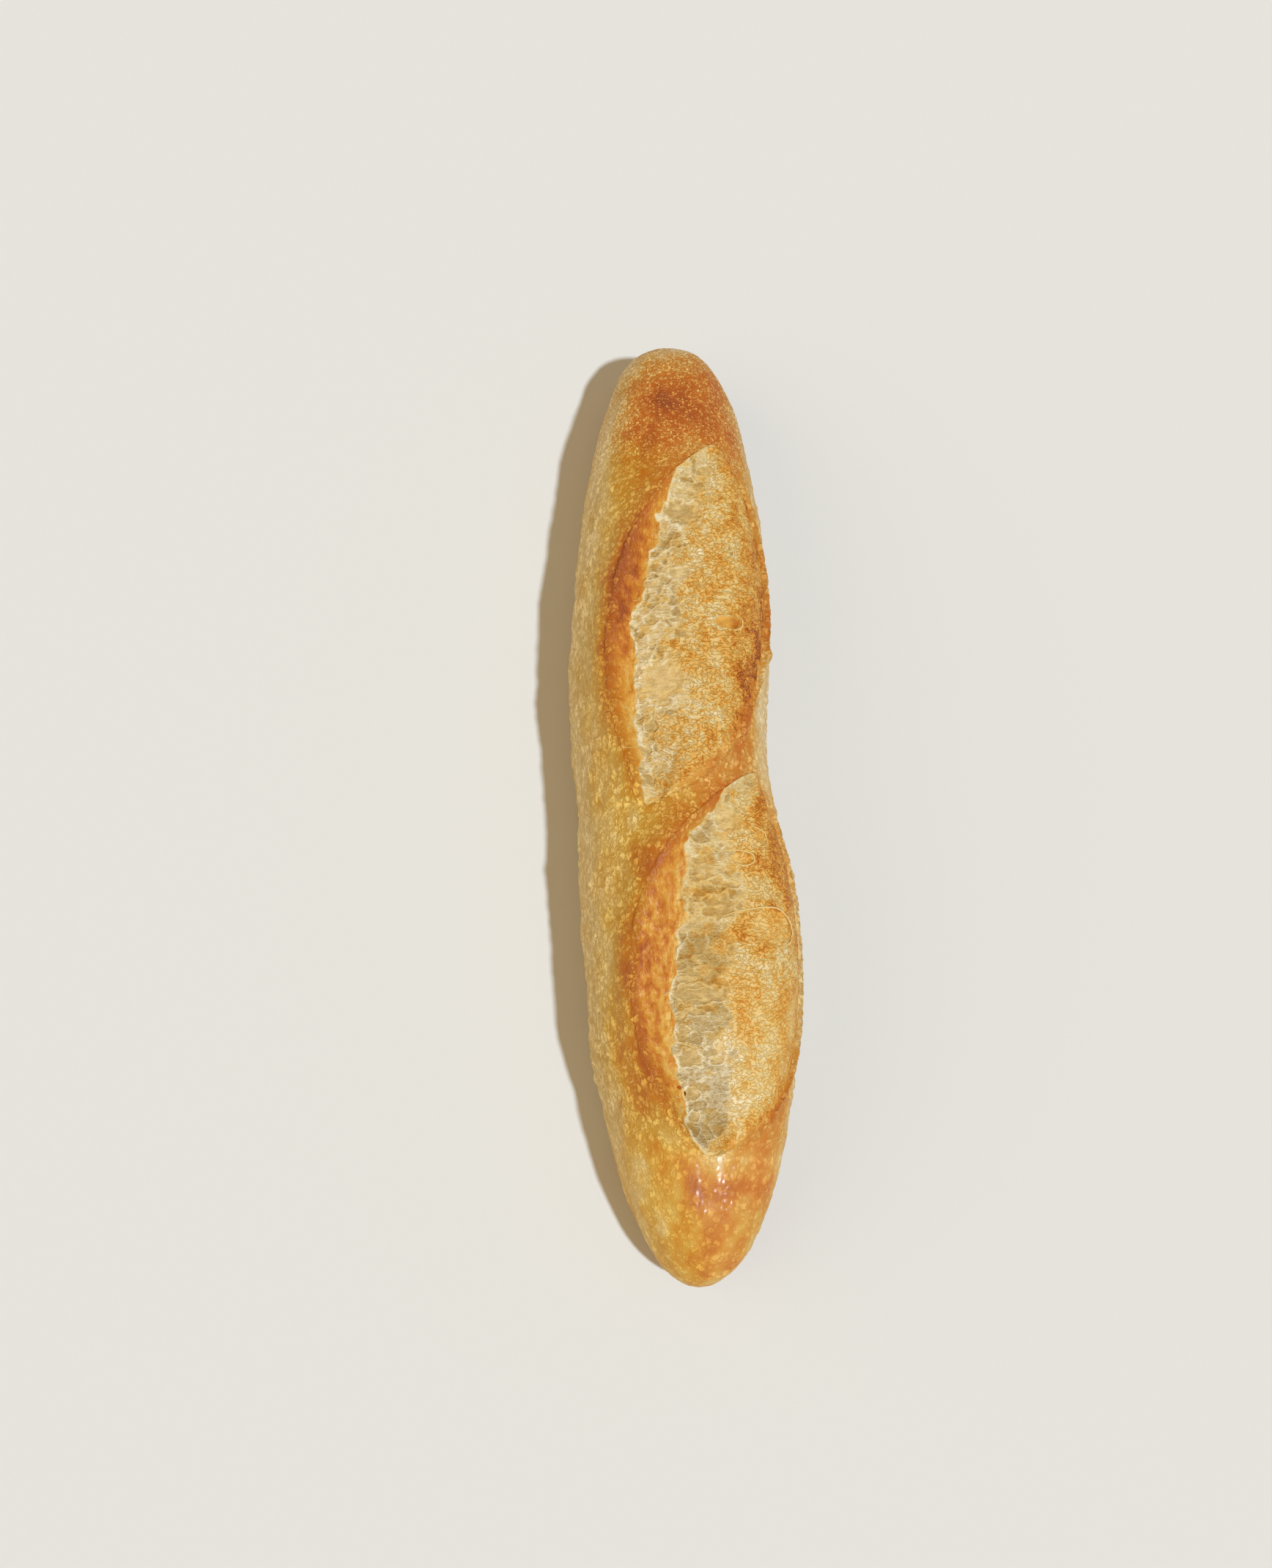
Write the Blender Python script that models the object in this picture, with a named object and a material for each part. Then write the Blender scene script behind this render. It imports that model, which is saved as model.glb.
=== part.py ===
"""A short French baguette with two long slanted slashes, each opened into an ear.

Modelled in metres with +Z up. The loaf lies on its flat underside along Y, and the origin is the
middle of its footprint. It is one solid. Every size below is in millimetres, and every angle is in
degrees round the loaf from its top line, positive towards +X.
"""

import math

import bmesh
import bpy
import numpy as np

MM = 0.001

# The loaf without its slashes
LENGTH = 275.0
CROWN = 47.0             # height of the unslashed top at the thickest place
HALF_WIDTH = 31.0
NEAR_END = (2.67, 0.50)  # how late the -Y end starts to narrow, and how bluntly it closes
FAR_END = (1.72, 0.33)   # the same for the +Y end
HEIGHT_TAPER = 0.8       # under 1, so that the ends lose less height than width
UPPER_ROUNDNESS = 2.15   # 2 is an ellipse, more is squarer
LOWER_ROUNDNESS = 2.6
WIDEST_LEVEL = 0.42      # height of the widest line, as a share of the crown
TIP_DROP = 0.25          # how much of that height the ends lose
UNDERSIDE_FILL = 1.12    # how far the lower half reaches past the table before it is flattened
FOOT_BLEND = 2.5         # height over which the side rolls into the flat underside

# Places along the loaf where it is slimmer or fuller: amount, station along Y, reach
WAIST_RIGHT = (4.9, 9.2, 27.4)
WAIST_LEFT = (2.3, -7.0, 22.7)
BELLY_LEFT = (1.8, -75.0, 14.4)

# The spine bends gently sideways between the two bulges
BEND = (-3.5, -30.0, 42.9)  # amount along X, station along Y, length of the bend

# Each slash is a leaf-shaped opening round a slanted chord. A tip is (station, angle). An edge is
# (bulge away from the chord, fullness towards -Y, fullness towards +Y).
FAR_SLASH = {
    "near_tip": (-9.2, -26.0),
    "far_tip": (100.0, 22.8),
    "ear": (-40.6, 1.02, 0.69),
    "tear": (-27.8, 0.83, 0.42),
    "rim": (61.6, 0.72, 0.76),
}
NEAR_SLASH = {
    "near_tip": (-103.5, -3.0),
    "far_tip": (1.5, 43.0),
    "ear": (-58.0, 0.79, 0.64),
    "tear": (-38.4, 0.64, 0.38),
    "rim": (58.4, 0.50, 0.99),
}
ARC_PER_DEGREE = 0.5     # distance round the skin for each degree
OPEN_WIDTH = 24.0        # an opening at least this wide has its full relief
LEAST_BAND = 5.0         # the ear's inner side never falls in less than this

# Relief of an opening, measured square to the skin
EAR_HEIGHT = 2.6
EAR_REACH = 7.0          # how far back the skin is lifted behind the ear
VALLEY_DEPTH = 3.0       # pale crumb at the foot of the ear
DOME_HEIGHT = 1.2        # torn dough that swelled out beside the valley
GROOVE_DEPTH = 1.0       # gap between that dough and the rim of the skin
LIP_HEIGHT = 0.8         # curled rim of the skin
LIP_REACH = 2.5
DOME_RISE = (0.12, 0.62) # where the dome starts and ends its rise, as shares of tear to rim
DOME_FALL = 0.72         # where it starts to drop to the groove

# Mesh
ROWS = 74                # rings along the loaf
COLUMNS = 68             # points round each ring
ROW_CROWDING = 0.6       # 1 crowds the rings at the ends, 0 spaces them evenly
TOP_CROWDING = 0.35      # draws the points of a ring towards the top
MERGE_DISTANCE = 1e-5
SMOOTH_SHARE = 0.5       # how far the relief's points are drawn to their neighbours
SMOOTH_ABOVE = 12.0      # only above this height
SMOOTH_WITHIN = 118.0    # and only this near the middle of the loaf

CRUST_COLOUR = (0.60, 0.33, 0.10, 1.0)
CRUST_ROUGHNESS = 0.55


def clear_scene():
    for existing in list(bpy.data.objects):
        bpy.data.objects.remove(existing, do_unlink=True)


def bell(place, amount, centre, reach):
    return amount * math.exp(-(((place - centre) / reach) ** 2))


def smooth_step(share):
    share = min(max(share, 0.0), 1.0)
    return share * share * (3.0 - 2.0 * share)


def end_taper(station):
    """Full in the middle of the loaf, nothing at its two tips."""
    along = 2.0 * station / LENGTH
    lateness, bluntness = NEAR_END if along < 0.0 else FAR_END
    return max(1.0 - abs(along) ** lateness, 0.0) ** bluntness


def section_sizes(station):
    """Reach to the right, left, top and bottom of the widest line, and that line's height."""
    full = end_taper(station)
    right = HALF_WIDTH * full - bell(station, *WAIST_RIGHT)
    left = HALF_WIDTH * full - bell(station, *WAIST_LEFT) + bell(station, *BELLY_LEFT) * full
    level = WIDEST_LEVEL * CROWN * (1.0 - TIP_DROP * (1.0 - full))
    up = (1.0 - WIDEST_LEVEL) * CROWN * full**HEIGHT_TAPER
    down = min(level, up) * UNDERSIDE_FILL
    return max(right, 0.0), max(left, 0.0), up, down, level


def bend(station):
    amount, centre, length = BEND
    return amount * math.tanh((station - centre) / length)


def leaf(share, near_fullness, far_fullness):
    """A bulge of height 1 that is nothing at both tips."""
    peak = near_fullness / (near_fullness + far_fullness)
    tallest = peak**near_fullness * (1.0 - peak) ** far_fullness
    return share**near_fullness * (1.0 - share) ** far_fullness / tallest


def slash_edges(slash, station):
    """The angles of the ear, the tear and the rim, or nothing past the tips."""
    near_station, near_angle = slash["near_tip"]
    far_station, far_angle = slash["far_tip"]
    share = (station - near_station) / (far_station - near_station)
    if not 0.0 < share < 1.0:
        return None
    chord = near_angle + (far_angle - near_angle) * share
    angles = []
    for edge in ("ear", "tear", "rim"):
        bulge, near_fullness, far_fullness = slash[edge]
        angles.append(chord + bulge * leaf(share, near_fullness, far_fullness))
    return angles


def dome_profile(share):
    """Height of the torn dough from the foot of the ear, 0, to the rim of the skin, 1."""
    start, end = DOME_RISE
    rise = smooth_step((share - start) / (end - start))
    fall = smooth_step((share - DOME_FALL) / (1.0 - DOME_FALL))
    return -VALLEY_DEPTH + (VALLEY_DEPTH + DOME_HEIGHT) * rise - (DOME_HEIGHT + GROOVE_DEPTH) * fall


def slash_relief(slash, station, angle):
    """How far a slash moves the skin outwards at this place."""
    edges = slash_edges(slash, station)
    if edges is None:
        return 0.0
    ear, tear, rim = edges
    strength = smooth_step((rim - ear) * ARC_PER_DEGREE / OPEN_WIDTH)
    band = max(tear - ear, LEAST_BAND / ARC_PER_DEGREE)
    tear = ear + band
    if angle < ear:
        height = bell((ear - angle) * ARC_PER_DEGREE, EAR_HEIGHT, 0.0, EAR_REACH)
    elif angle < tear:
        height = EAR_HEIGHT - (EAR_HEIGHT + VALLEY_DEPTH) * smooth_step((angle - ear) / band)
    elif angle < rim:
        height = dome_profile((angle - tear) / (rim - tear))
    else:
        height = bell((angle - rim) * ARC_PER_DEGREE, LIP_HEIGHT, 0.0, LIP_REACH)
    return strength * height


def flatten_foot(height):
    """Rolls whatever reaches below the table into a flat underside."""
    if height >= FOOT_BLEND:
        return height
    if height <= -FOOT_BLEND:
        return 0.0
    return (height + FOOT_BLEND) ** 2 / (4.0 * FOOT_BLEND)


def loaf_point(station, angle):
    """A point of the skin, in millimetres."""
    right, left, up, down, level = section_sizes(station)
    across, above = math.sin(math.radians(angle)), math.cos(math.radians(angle))
    half_width = right if across > 0.0 else left
    half_height = up if above > 0.0 else down
    power = 2.0 / (UPPER_ROUNDNESS if above > 0.0 else LOWER_ROUNDNESS)
    x = math.copysign(abs(across) ** power, across) * half_width
    z = math.copysign(abs(above) ** power, above) * half_height
    outwards = (across / max(half_width, 1.0), above / max(half_height, 1.0))
    size = math.hypot(*outwards)
    height = slash_relief(FAR_SLASH, station, angle) + slash_relief(NEAR_SLASH, station, angle)
    x += bend(station) + height * outwards[0] / size
    z += level + height * outwards[1] / size
    return x, station, flatten_foot(z)


def ring_station(row):
    """Station of a ring, with the rings closer together towards the ends."""
    turn = row / (ROWS - 1)
    even = 2.0 * turn - 1.0
    crowded = -math.cos(math.pi * turn)
    return LENGTH / 2.0 * (ROW_CROWDING * crowded + (1.0 - ROW_CROWDING) * even)


def spun_blank(mesh):
    """A round closed blank on the Y axis: each point holds its station and its angle."""
    points = []
    for row in range(ROWS):
        station = ring_station(row)
        radius = math.sqrt(max(1.0 - (2.0 * station / LENGTH) ** 2, 0.0))
        points.append(mesh.verts.new((0.0, station, -radius)))
    lines = [mesh.edges.new(pair) for pair in zip(points, points[1:])]
    bmesh.ops.spin(
        mesh,
        geom=points + lines,
        axis=(0.0, 1.0, 0.0),
        cent=(0.0, 0.0, 0.0),
        angle=math.tau,
        steps=COLUMNS,
        use_merge=True,
    )
    bmesh.ops.remove_doubles(mesh, verts=mesh.verts, dist=MERGE_DISTANCE)


def shape_loaf(mesh):
    """Moves the blank's points out to the skin of the loaf."""
    for point in mesh.verts:
        x, station, z = point.co
        turn = math.atan2(x, z)
        turn -= TOP_CROWDING * math.sin(turn)
        point.co = loaf_point(station, math.degrees(turn))
    carved = [v for v in mesh.verts if v.co.z > SMOOTH_ABOVE and abs(v.co.y) < SMOOTH_WITHIN]
    bmesh.ops.smooth_vert(
        mesh, verts=carved, factor=SMOOTH_SHARE, use_axis_x=True, use_axis_y=True, use_axis_z=True
    )


def centre_loaf(mesh):
    """Puts the middle of the footprint at the origin and turns millimetres into metres."""
    corners = np.array([point.co for point in mesh.verts])
    middle = (corners.min(axis=0) + corners.max(axis=0)) / 2.0
    middle[2] = corners[:, 2].min()
    bmesh.ops.translate(mesh, verts=mesh.verts, vec=-middle)
    bmesh.ops.scale(mesh, verts=mesh.verts, vec=(MM, MM, MM))


def crust_material():
    material = bpy.data.materials.new("crust")
    material.use_nodes = True
    shader = material.node_tree.nodes["Principled BSDF"]
    shader.inputs["Base Color"].default_value = CRUST_COLOUR
    shader.inputs["Roughness"].default_value = CRUST_ROUGHNESS
    shader.inputs["Metallic"].default_value = 0.0
    return material


def make_loaf():
    mesh = bmesh.new()
    spun_blank(mesh)
    shape_loaf(mesh)
    centre_loaf(mesh)
    bmesh.ops.triangulate(mesh, faces=mesh.faces)
    bmesh.ops.recalc_face_normals(mesh, faces=mesh.faces)
    data = bpy.data.meshes.new("loaf")
    mesh.to_mesh(data)
    mesh.free()
    data.shade_smooth()
    data.materials.append(crust_material())
    loaf = bpy.data.objects.new("loaf", data)
    bpy.context.scene.collection.objects.link(loaf)
    return loaf


clear_scene()
make_loaf()
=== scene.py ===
import math

import bmesh
import bpy
import numpy as np
from mathutils import Matrix, Vector, noise


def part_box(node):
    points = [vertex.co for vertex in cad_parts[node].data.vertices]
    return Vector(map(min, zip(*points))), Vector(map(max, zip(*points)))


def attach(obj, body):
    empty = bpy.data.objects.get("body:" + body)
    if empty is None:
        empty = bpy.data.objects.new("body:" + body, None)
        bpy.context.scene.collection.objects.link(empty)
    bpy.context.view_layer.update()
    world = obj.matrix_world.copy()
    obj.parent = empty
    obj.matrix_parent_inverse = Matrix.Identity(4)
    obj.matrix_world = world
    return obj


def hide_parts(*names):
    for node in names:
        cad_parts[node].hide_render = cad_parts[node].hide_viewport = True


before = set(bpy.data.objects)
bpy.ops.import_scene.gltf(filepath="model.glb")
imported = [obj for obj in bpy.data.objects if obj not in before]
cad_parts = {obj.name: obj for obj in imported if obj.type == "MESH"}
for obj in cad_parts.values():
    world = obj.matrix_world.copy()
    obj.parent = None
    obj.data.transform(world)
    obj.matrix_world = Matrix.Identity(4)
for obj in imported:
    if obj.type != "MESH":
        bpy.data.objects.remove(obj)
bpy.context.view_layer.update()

# Stations run along the loaf in mm, angles round it in degrees from the top line, positive to +X.
loafForm = {
    "length": 275.0,
    "crown": 47.0,                    # height of the unslashed top at its thickest
    "halfWidth": 31.0,
    "nearEnd": (2.67, 0.50),          # how late the -Y end narrows, how bluntly it closes
    "farEnd": (1.72, 0.33),
    "heightTaper": 0.8,               # under 1, so that the ends lose less height than width
    "upperRoundness": 2.15,           # 2 is an ellipse, more is squarer
    "lowerRoundness": 2.6,
    "widestLevel": 0.42,              # height of the widest line, as a share of the crown
    "tipDrop": 0.25,                  # how much of that height the ends lose
    "undersideFill": 1.12,            # how far the lower half reaches before it is flattened
    "footBlend": 2.5,                 # height over which the side rolls into the underside
    "waistRight": (4.9, 9.2, 27.4),   # amount, station, reach
    "waistLeft": (2.3, -7.0, 22.7),
    "bellyLeft": (1.8, -75.0, 14.4),
    "bend": (-3.5, -30.0, 42.9),
    "arcPerDegree": 0.5,              # distance round the skin for each degree, in mm
}

# An edge is (bulge from the chord between the tips in degrees, fullness to -Y, fullness to +Y)
slashes = {
    "far": {
        "nearTip": (-9.2, -26.0),
        "farTip": (100.0, 22.8),
        "ear": (-40.6, 1.02, 0.69),
        "tear": (-27.8, 0.83, 0.42),
        "rim": (61.6, 0.66, 0.76),
        "runOut": (72.0, 22.0, 0.55),    # where its relief gets lower, over how much, by how much
    },
    "near": {
        "nearTip": (-103.5, -3.0),
        "farTip": (1.5, 43.0),
        "ear": (-58.0, 0.79, 0.64),
        "tear": (-38.4, 0.64, 0.38),
        "rim": (58.4, 0.60, 0.99),
        "runOut": (-22.0, 14.0, 0.62),
    },
}

# Heights square to the skin, in mm
slashForm = {
    "openWidth": 24.0,                # an opening at least this wide has its full relief
    "leastBand": 5.0,                 # the ear's inner side never falls in less than this
    "earHeight": 2.6,
    "earReach": 7.0,
    "valleyDepth": 3.0,
    "domeHeight": 1.2,
    "grooveDepth": 0.4,
    "lipHeight": 0.8,
    "lipReach": 2.5,
    "domeRise": (0.12, 0.62),         # shares of the way from the tear to the rim
    "domeFall": 0.72,
    "runOutBeside": (6.0, 20.0),      # degrees from the rim that keep their relief, then a blend
}


# 1 where the distance is nothing, falling away over the reach
def hump(distance, reach):
    return np.exp(-((distance / reach) ** 2))


def bell(place, amount, centre, reach):
    return amount * hump(place - centre, reach)


# Humps over the same distance, each with its amount and reach
def humps(distance, parts):
    return sum(amount * hump(distance, reach) for amount, reach in parts)


# From 0 at the start to 1 at the end of the reach
def smoothStep(value, start=0.0, reach=1.0):
    share = np.clip((value - start) / reach, 0.0, 1.0)
    return share * share * (3.0 - 2.0 * share)


def comingIn(value, amount, start, reach):
    return amount * smoothStep(value, start, reach)


# From 0 on one side of an edge to 1 on the other
def past(distance, softness):
    return smoothStep(distance / softness + 0.5)


# Distance round the skin in mm
def overSkin(angle):
    return angle * loafForm["arcPerDegree"]


def endTaper(station):
    along = np.minimum(np.abs(2.0 * station / loafForm["length"]), 1.0)
    nearLate, nearBlunt = loafForm["nearEnd"]
    farLate, farBlunt = loafForm["farEnd"]
    near = (1.0 - along**nearLate) ** nearBlunt
    far = (1.0 - along**farLate) ** farBlunt
    return np.where(station < 0.0, near, far)


def leaf(share, nearFullness, farFullness):
    peak = nearFullness / (nearFullness + farFullness)
    tallest = peak**nearFullness * (1.0 - peak) ** farFullness
    share = np.clip(share, 0.0, 1.0)
    return share**nearFullness * (1.0 - share) ** farFullness / tallest


def slashEdges(slash, station):
    nearStation, nearAngle = slash["nearTip"]
    farStation, farAngle = slash["farTip"]
    share = np.clip((station - nearStation) / (farStation - nearStation), 0.0, 1.0)
    chord = nearAngle + (farAngle - nearAngle) * share
    bulges = [slash[edge][0] * leaf(share, *slash[edge][1:]) for edge in ("ear", "tear", "rim")]
    return [chord + bulge for bulge in bulges]


def slashStrength(ear, rim):
    return smoothStep(overSkin(rim - ear), 0.0, slashForm["openWidth"])


def alongOpening(slash, station):
    return (station > slash["nearTip"][0]) & (station < slash["farTip"][0])


# Plain relief of a slash, as the solid has it but for where it runs out
def slashProfile(slash, station, angle):
    form = slashForm
    valley, domeTop, earTop = form["valleyDepth"], form["domeHeight"], form["earHeight"]
    ear, tear, rim = slashEdges(slash, station)
    band = np.maximum(tear - ear, form["leastBand"] / loafForm["arcPerDegree"])
    tear = ear + band
    across = (angle - tear) / np.maximum(rim - tear, 1e-3)
    start, end = form["domeRise"]
    rise = smoothStep(across, start, end - start)
    fall = smoothStep(across, form["domeFall"], 1.0 - form["domeFall"])
    dome = (valley + domeTop) * rise - valley
    dome = dome - (domeTop + form["grooveDepth"]) * fall
    behind = bell(overSkin(ear - angle), earTop, 0.0, form["earReach"])
    inner = earTop - (earTop + valley) * smoothStep(angle, ear, band)
    lip = bell(overSkin(angle - rim), form["lipHeight"], 0.0, form["lipReach"])
    height = np.where(angle < rim, dome, lip)
    height = np.where(angle < tear, inner, height)
    height = np.where(angle < ear, behind, height)
    start, reach, lower = slash["runOut"]
    kept, blending = form["runOutBeside"]
    lower = lower * smoothStep(station, start, reach)
    height = height * (1.0 - lower * smoothStep(rim - kept - angle, 0.0, blending))
    return np.where(alongOpening(slash, station), slashStrength(ear, rim) * height, 0.0)


# Points of the skin in mm, moved outwards by height
def skinPoints(station, angle, height):
    form = loafForm
    full = endTaper(station)
    crown = form["crown"]
    right = np.maximum(form["halfWidth"] * full - bell(station, *form["waistRight"]), 0.0)
    left = form["halfWidth"] * full - bell(station, *form["waistLeft"])
    left = np.maximum(left + bell(station, *form["bellyLeft"]) * full, 0.0)
    level = form["widestLevel"] * crown * (1.0 - form["tipDrop"] * (1.0 - full))
    up = (1.0 - form["widestLevel"]) * crown * full ** form["heightTaper"]
    down = np.minimum(level, up) * form["undersideFill"]
    across, above = np.sin(np.radians(angle)), np.cos(np.radians(angle))
    halfWidth = np.where(across > 0.0, right, left)
    halfHeight = np.where(above > 0.0, up, down)
    power = np.where(above > 0.0, 2.0 / form["upperRoundness"], 2.0 / form["lowerRoundness"])
    x = np.sign(across) * np.abs(across) ** power * halfWidth
    z = np.sign(above) * np.abs(above) ** power * halfHeight
    outX, outZ = across / np.maximum(halfWidth, 1.0), above / np.maximum(halfHeight, 1.0)
    size = np.hypot(outX, outZ)
    amount, centre, length = form["bend"]
    x = x + amount * np.tanh((station - centre) / length) + height * outX / size
    z = z + level + height * outZ / size
    blend = form["footBlend"]
    rolled = (z + blend) ** 2 / (4.0 * blend)
    z = np.where(z >= blend, z, np.where(z <= -blend, 0.0, rolled))
    return np.stack([x, station + 0.0 * x, z], axis=-1)


# Middle of the plain form's footprint, which the solid puts at the origin
def formMiddle():
    half = loafForm["length"] / 2.0
    steps = 240
    station, angle = np.meshgrid(np.linspace(-half, half, steps), np.linspace(-180.0, 180.0, steps))
    relief = sum(slashProfile(slash, station, angle) for slash in slashes.values())
    points = skinPoints(station, angle, relief).reshape(-1, 3)
    middle = (points.min(axis=0) + points.max(axis=0)) / 2.0
    low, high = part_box("loaf")
    middle[2] = points[:, 2].min()
    return middle - np.array([(low[0] + high[0]) / 2.0, (low[1] + high[1]) / 2.0, low[2]]) * 1000.0


middle = formMiddle()


def inMetres(points):
    return (points - middle) * 0.001


# Smooth noise, mostly within -0.5 to 0.5, with lumps of the given size in mm
def grain(points, size, seed=0.0):
    scaled = points / np.asarray(size) + seed
    return np.array([noise.noise(place) for place in scaled.tolist()])


def grains(points, size, octaves, seed=0.0):
    total, strength = 0.0, 1.0
    size = np.asarray(size, dtype=float)
    for octave in range(octaves):
        total = total + strength * grain(points, size / 2.0**octave, seed + 7.3 * octave)
        strength *= 0.5
    return total


# Distance to the nearest wall between cells, and a number from 0 to 1 for each cell
def cells(points, size, seed=0.0):
    scaled = (points / np.asarray(size) + seed).tolist()
    wall, pick = np.empty(len(scaled)), np.empty(len(scaled))
    for index, place in enumerate(scaled):
        distances, middles = noise.voronoi(place)
        wall[index] = distances[1] - distances[0]
        pick[index] = noise.cell(middles[0] * 9.7)
    return wall, (pick + 1.0) % 1.0


def addObject(name, data):
    item = bpy.data.objects.new(name, data)
    bpy.context.scene.collection.objects.link(item)
    return item


# Moves a mesh's points to their places and stores the finish's layers on them
def writeMesh(name, mesh, points, layers):
    data = bpy.data.meshes.new(name)
    mesh.to_mesh(data)
    mesh.free()
    data.vertices.foreach_set("co", inMetres(points).astype(np.float32).ravel())
    for layerName, values in layers.items():
        attribute = data.attributes.new(layerName, "FLOAT", "POINT")
        attribute.data.foreach_set("value", np.asarray(values, dtype=np.float32))
    data.update()
    data.shade_smooth()
    return addObject(name, data)


def meshPlaces(mesh):
    return np.array([vertex.co for vertex in mesh.verts])


def dress(piece, material):
    piece.data.materials.clear()
    piece.data.materials.append(material)
    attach(piece, "root")
    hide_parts("loaf")


# What comes in along the loaf or round it has an amount, where it starts and over how much
skinLook = {
    "rows": 462,
    "columns": 214,
    "rowCrowding": 0.35,                      # draws the rings to the ends
    "topCrowding": 0.45,                      # draws the points of a ring to the top
    "lumps": ((9.0, 16.0, 9.0), 0.60),        # size and height in mm
    "ripples": ((2.2, 4.2, 2.2), 0.50),       # long blisters of the flanks
    "blisters": ((1.9, 2.3, 1.9), 0.24),
    "blisterForm": (0.5, 0.3, 0.7, 0.4),      # softness, least and added height, sinking
    "reliefAbove": (1.0, 6.0),                # none at the foot
    "streakyFrom": (42.0, 25.0),
    "streakyUpTo": (105.0, 20.0),
    "sinkAtEdge": (1.2, 0.0, 1.2),            # drop under a torn face
    "sinkInside": (2.6, 1.0, 4.0),
    "topBake": 0.45,
    "sideBake": (-0.31, 33.0, 45.0),
    "undersideBake": (0.30, 118.0, 25.0),
    "nearEndBake": (0.20, 86.0, 26.0),
    "farEndBake": (0.10, 84.0, 24.0),
    "endsFrom": (34.0, 40.0),
    "crestDark": ((0.24, 2.6), (0.16, 6.0)),  # amount and reach of the browning behind an ear
    "rimDark": ((0.20, 1.7), (0.12, 4.0)),    # and beside a rim
    "mottle": ((6.0, 9.0, 6.0), 0.16),
    "nearEndMottle": (0.7, 92.0, 14.0),
    "rightWarmth": (1.0, -38.0, 58.0),
    "farEndWarmth": (0.7, 92.0, 15.0),
    "nearEndWarmth": (-0.35, 108.0, 16.0),
    "warmthWaver": ((14.0, 22.0, 14.0), 0.5),
    "fineFrom": (84.0, 20.0),
    "nearEndCalm": (0.40, 92.0, 14.0),
    "stripCalm": (0.8, 50.0, 8.0),
    "stripAlong": (1.0, -38.0, 40.0),
    "gloss": (0.04, 0.96),                    # all over, and added in the glint
    "glint": (-113.0, 0.0, 8.0, 10.0),
    "flourFrom": (128.0, 18.0),
}

# Browner and paler places, and a few darker ones that are painted shade: station, angle, reach
# along, reach across in mm, change of bake
skinPatches = [
    (113.0, 1.0, 13.0, 17.0, 0.25),      # brown cap of the far end
    (116.0, -20.0, 7.0, 6.0, 0.06),
    (104.0, -8.0, 8.0, 8.0, 0.08),
    (118.0, 30.0, 10.0, 7.0, 0.08),
    (137.0, 0.0, 9.0, 40.0, -0.34),      # pale very tip
    (100.0, -62.0, 30.0, 9.0, -0.12),    # and pale side of the far end
    (96.0, -26.0, 10.0, 7.0, 0.06),
    (-24.0, -25.0, 5.0, 3.5, 0.16),      # where the near ear starts
    (-14.0, -12.0, 8.0, 4.0, 0.10),
    (2.0, 10.0, 6.0, 5.0, 0.06),
    (-6.0, -36.0, 14.0, 8.0, -0.08),
    (21.0, 38.5, 6.0, 1.8, 0.24),        # lumpy brown ridge at the foot of the far rim
    (13.0, 34.0, 5.0, 1.6, 0.22),
    (7.0, 29.5, 3.5, 1.8, 0.14),
    (24.0, 56.0, 26.0, 5.5, -0.22),      # pale flank beside it
    (39.0, 60.5, 5.0, 3.5, 0.32),
    (55.0, 60.0, 11.0, 3.0, 0.18),
    (-86.0, -46.0, 12.0, 8.0, 0.07),
    (84.0, -34.0, 14.0, 8.0, 0.06),
    (-111.0, -2.0, 5.0, 5.0, 0.12),
    (-117.0, -3.0, 8.0, 9.0, 0.09),
    (-30.0, 66.0, 36.0, 6.0, 0.12),
    (-20.0, 60.0, 17.0, 5.0, 0.08),
    # darker on the left towards the near end, which turns from the key light: painted shade
    (-85.0, -60.0, 22.0, 12.0, 0.10),
    (36.0, 58.0, 16.0, 2.0, -0.08),
    # darker on the left of the near end, which turns from the key light: painted shade
    (-109.0, -16.0, 8.0, 7.0, 0.10),
    (-104.0, -8.0, 7.0, 9.0, -0.14),
    (-114.0, 2.0, 7.0, 8.0, 0.10),
    (-111.0, -33.0, 5.0, 5.0, 0.14),
    (-110.0, 38.0, 14.0, 8.0, 0.10),
    (-95.0, 48.0, 9.0, 5.0, 0.12),
    (-130.0, 0.0, 10.0, 30.0, 0.09),
]

# Lumps of the skin: station, angle, reach along, reach across, height in mm
skinLumps = [
    (38.3, 61.0, 2.2, 2.2, 1.3),         # burst blister on the far rim
    (44.5, 60.5, 1.8, 1.6, 0.7),
    (-24.0, 74.0, 2.0, 2.4, 0.7),
    (128.0, -14.0, 3.0, 4.0, 0.7),
    (124.0, 30.0, 3.0, 3.0, 0.6),
    (-30.5, 60.0, 2.2, 1.8, 0.6),
    (-41.0, -88.0, 3.5, 6.0, 0.7),
    (52.0, -86.0, 4.0, 6.0, 0.6),
]

# How dark each crest and rim is along its slash: station, reach, amount
crestBake = {
    "far": [(60.0, 24.0, 1.0), (25.0, 20.0, 0.55), (0.0, 9.0, 0.40)],
    "near": [(-4.0, 10.0, 0.55), (-24.0, 7.0, 0.40), (-52.0, 22.0, 0.62), (-82.0, 16.0, 0.50)],
}
rimBake = {
    "far": [(45.0, 9.0, 1.0), (70.0, 18.0, 0.45), (26.0, 6.0, 0.45)],
    "near": [(-82.0, 12.0, 0.60)],
}


def alongSlash(places, station):
    return sum(bell(station, amount, place, reach) for place, reach, amount in places)


# 1 in the middle of a patch, given by station, angle, reach along and reach across in mm
def patch(station, angle, place, turn, along, across):
    return np.exp(-(((station - place) / along) ** 2 + (overSkin(angle - turn) / across) ** 2))


def sinkUnder(slash, station, angle):
    ear, _, rim = slashEdges(slash, station)
    inside = overSkin(np.minimum(angle - ear, rim - angle))
    drop = comingIn(inside, *skinLook["sinkAtEdge"]) + comingIn(inside, *skinLook["sinkInside"])
    return np.where(alongOpening(slash, station), drop, 0.0)


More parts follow.
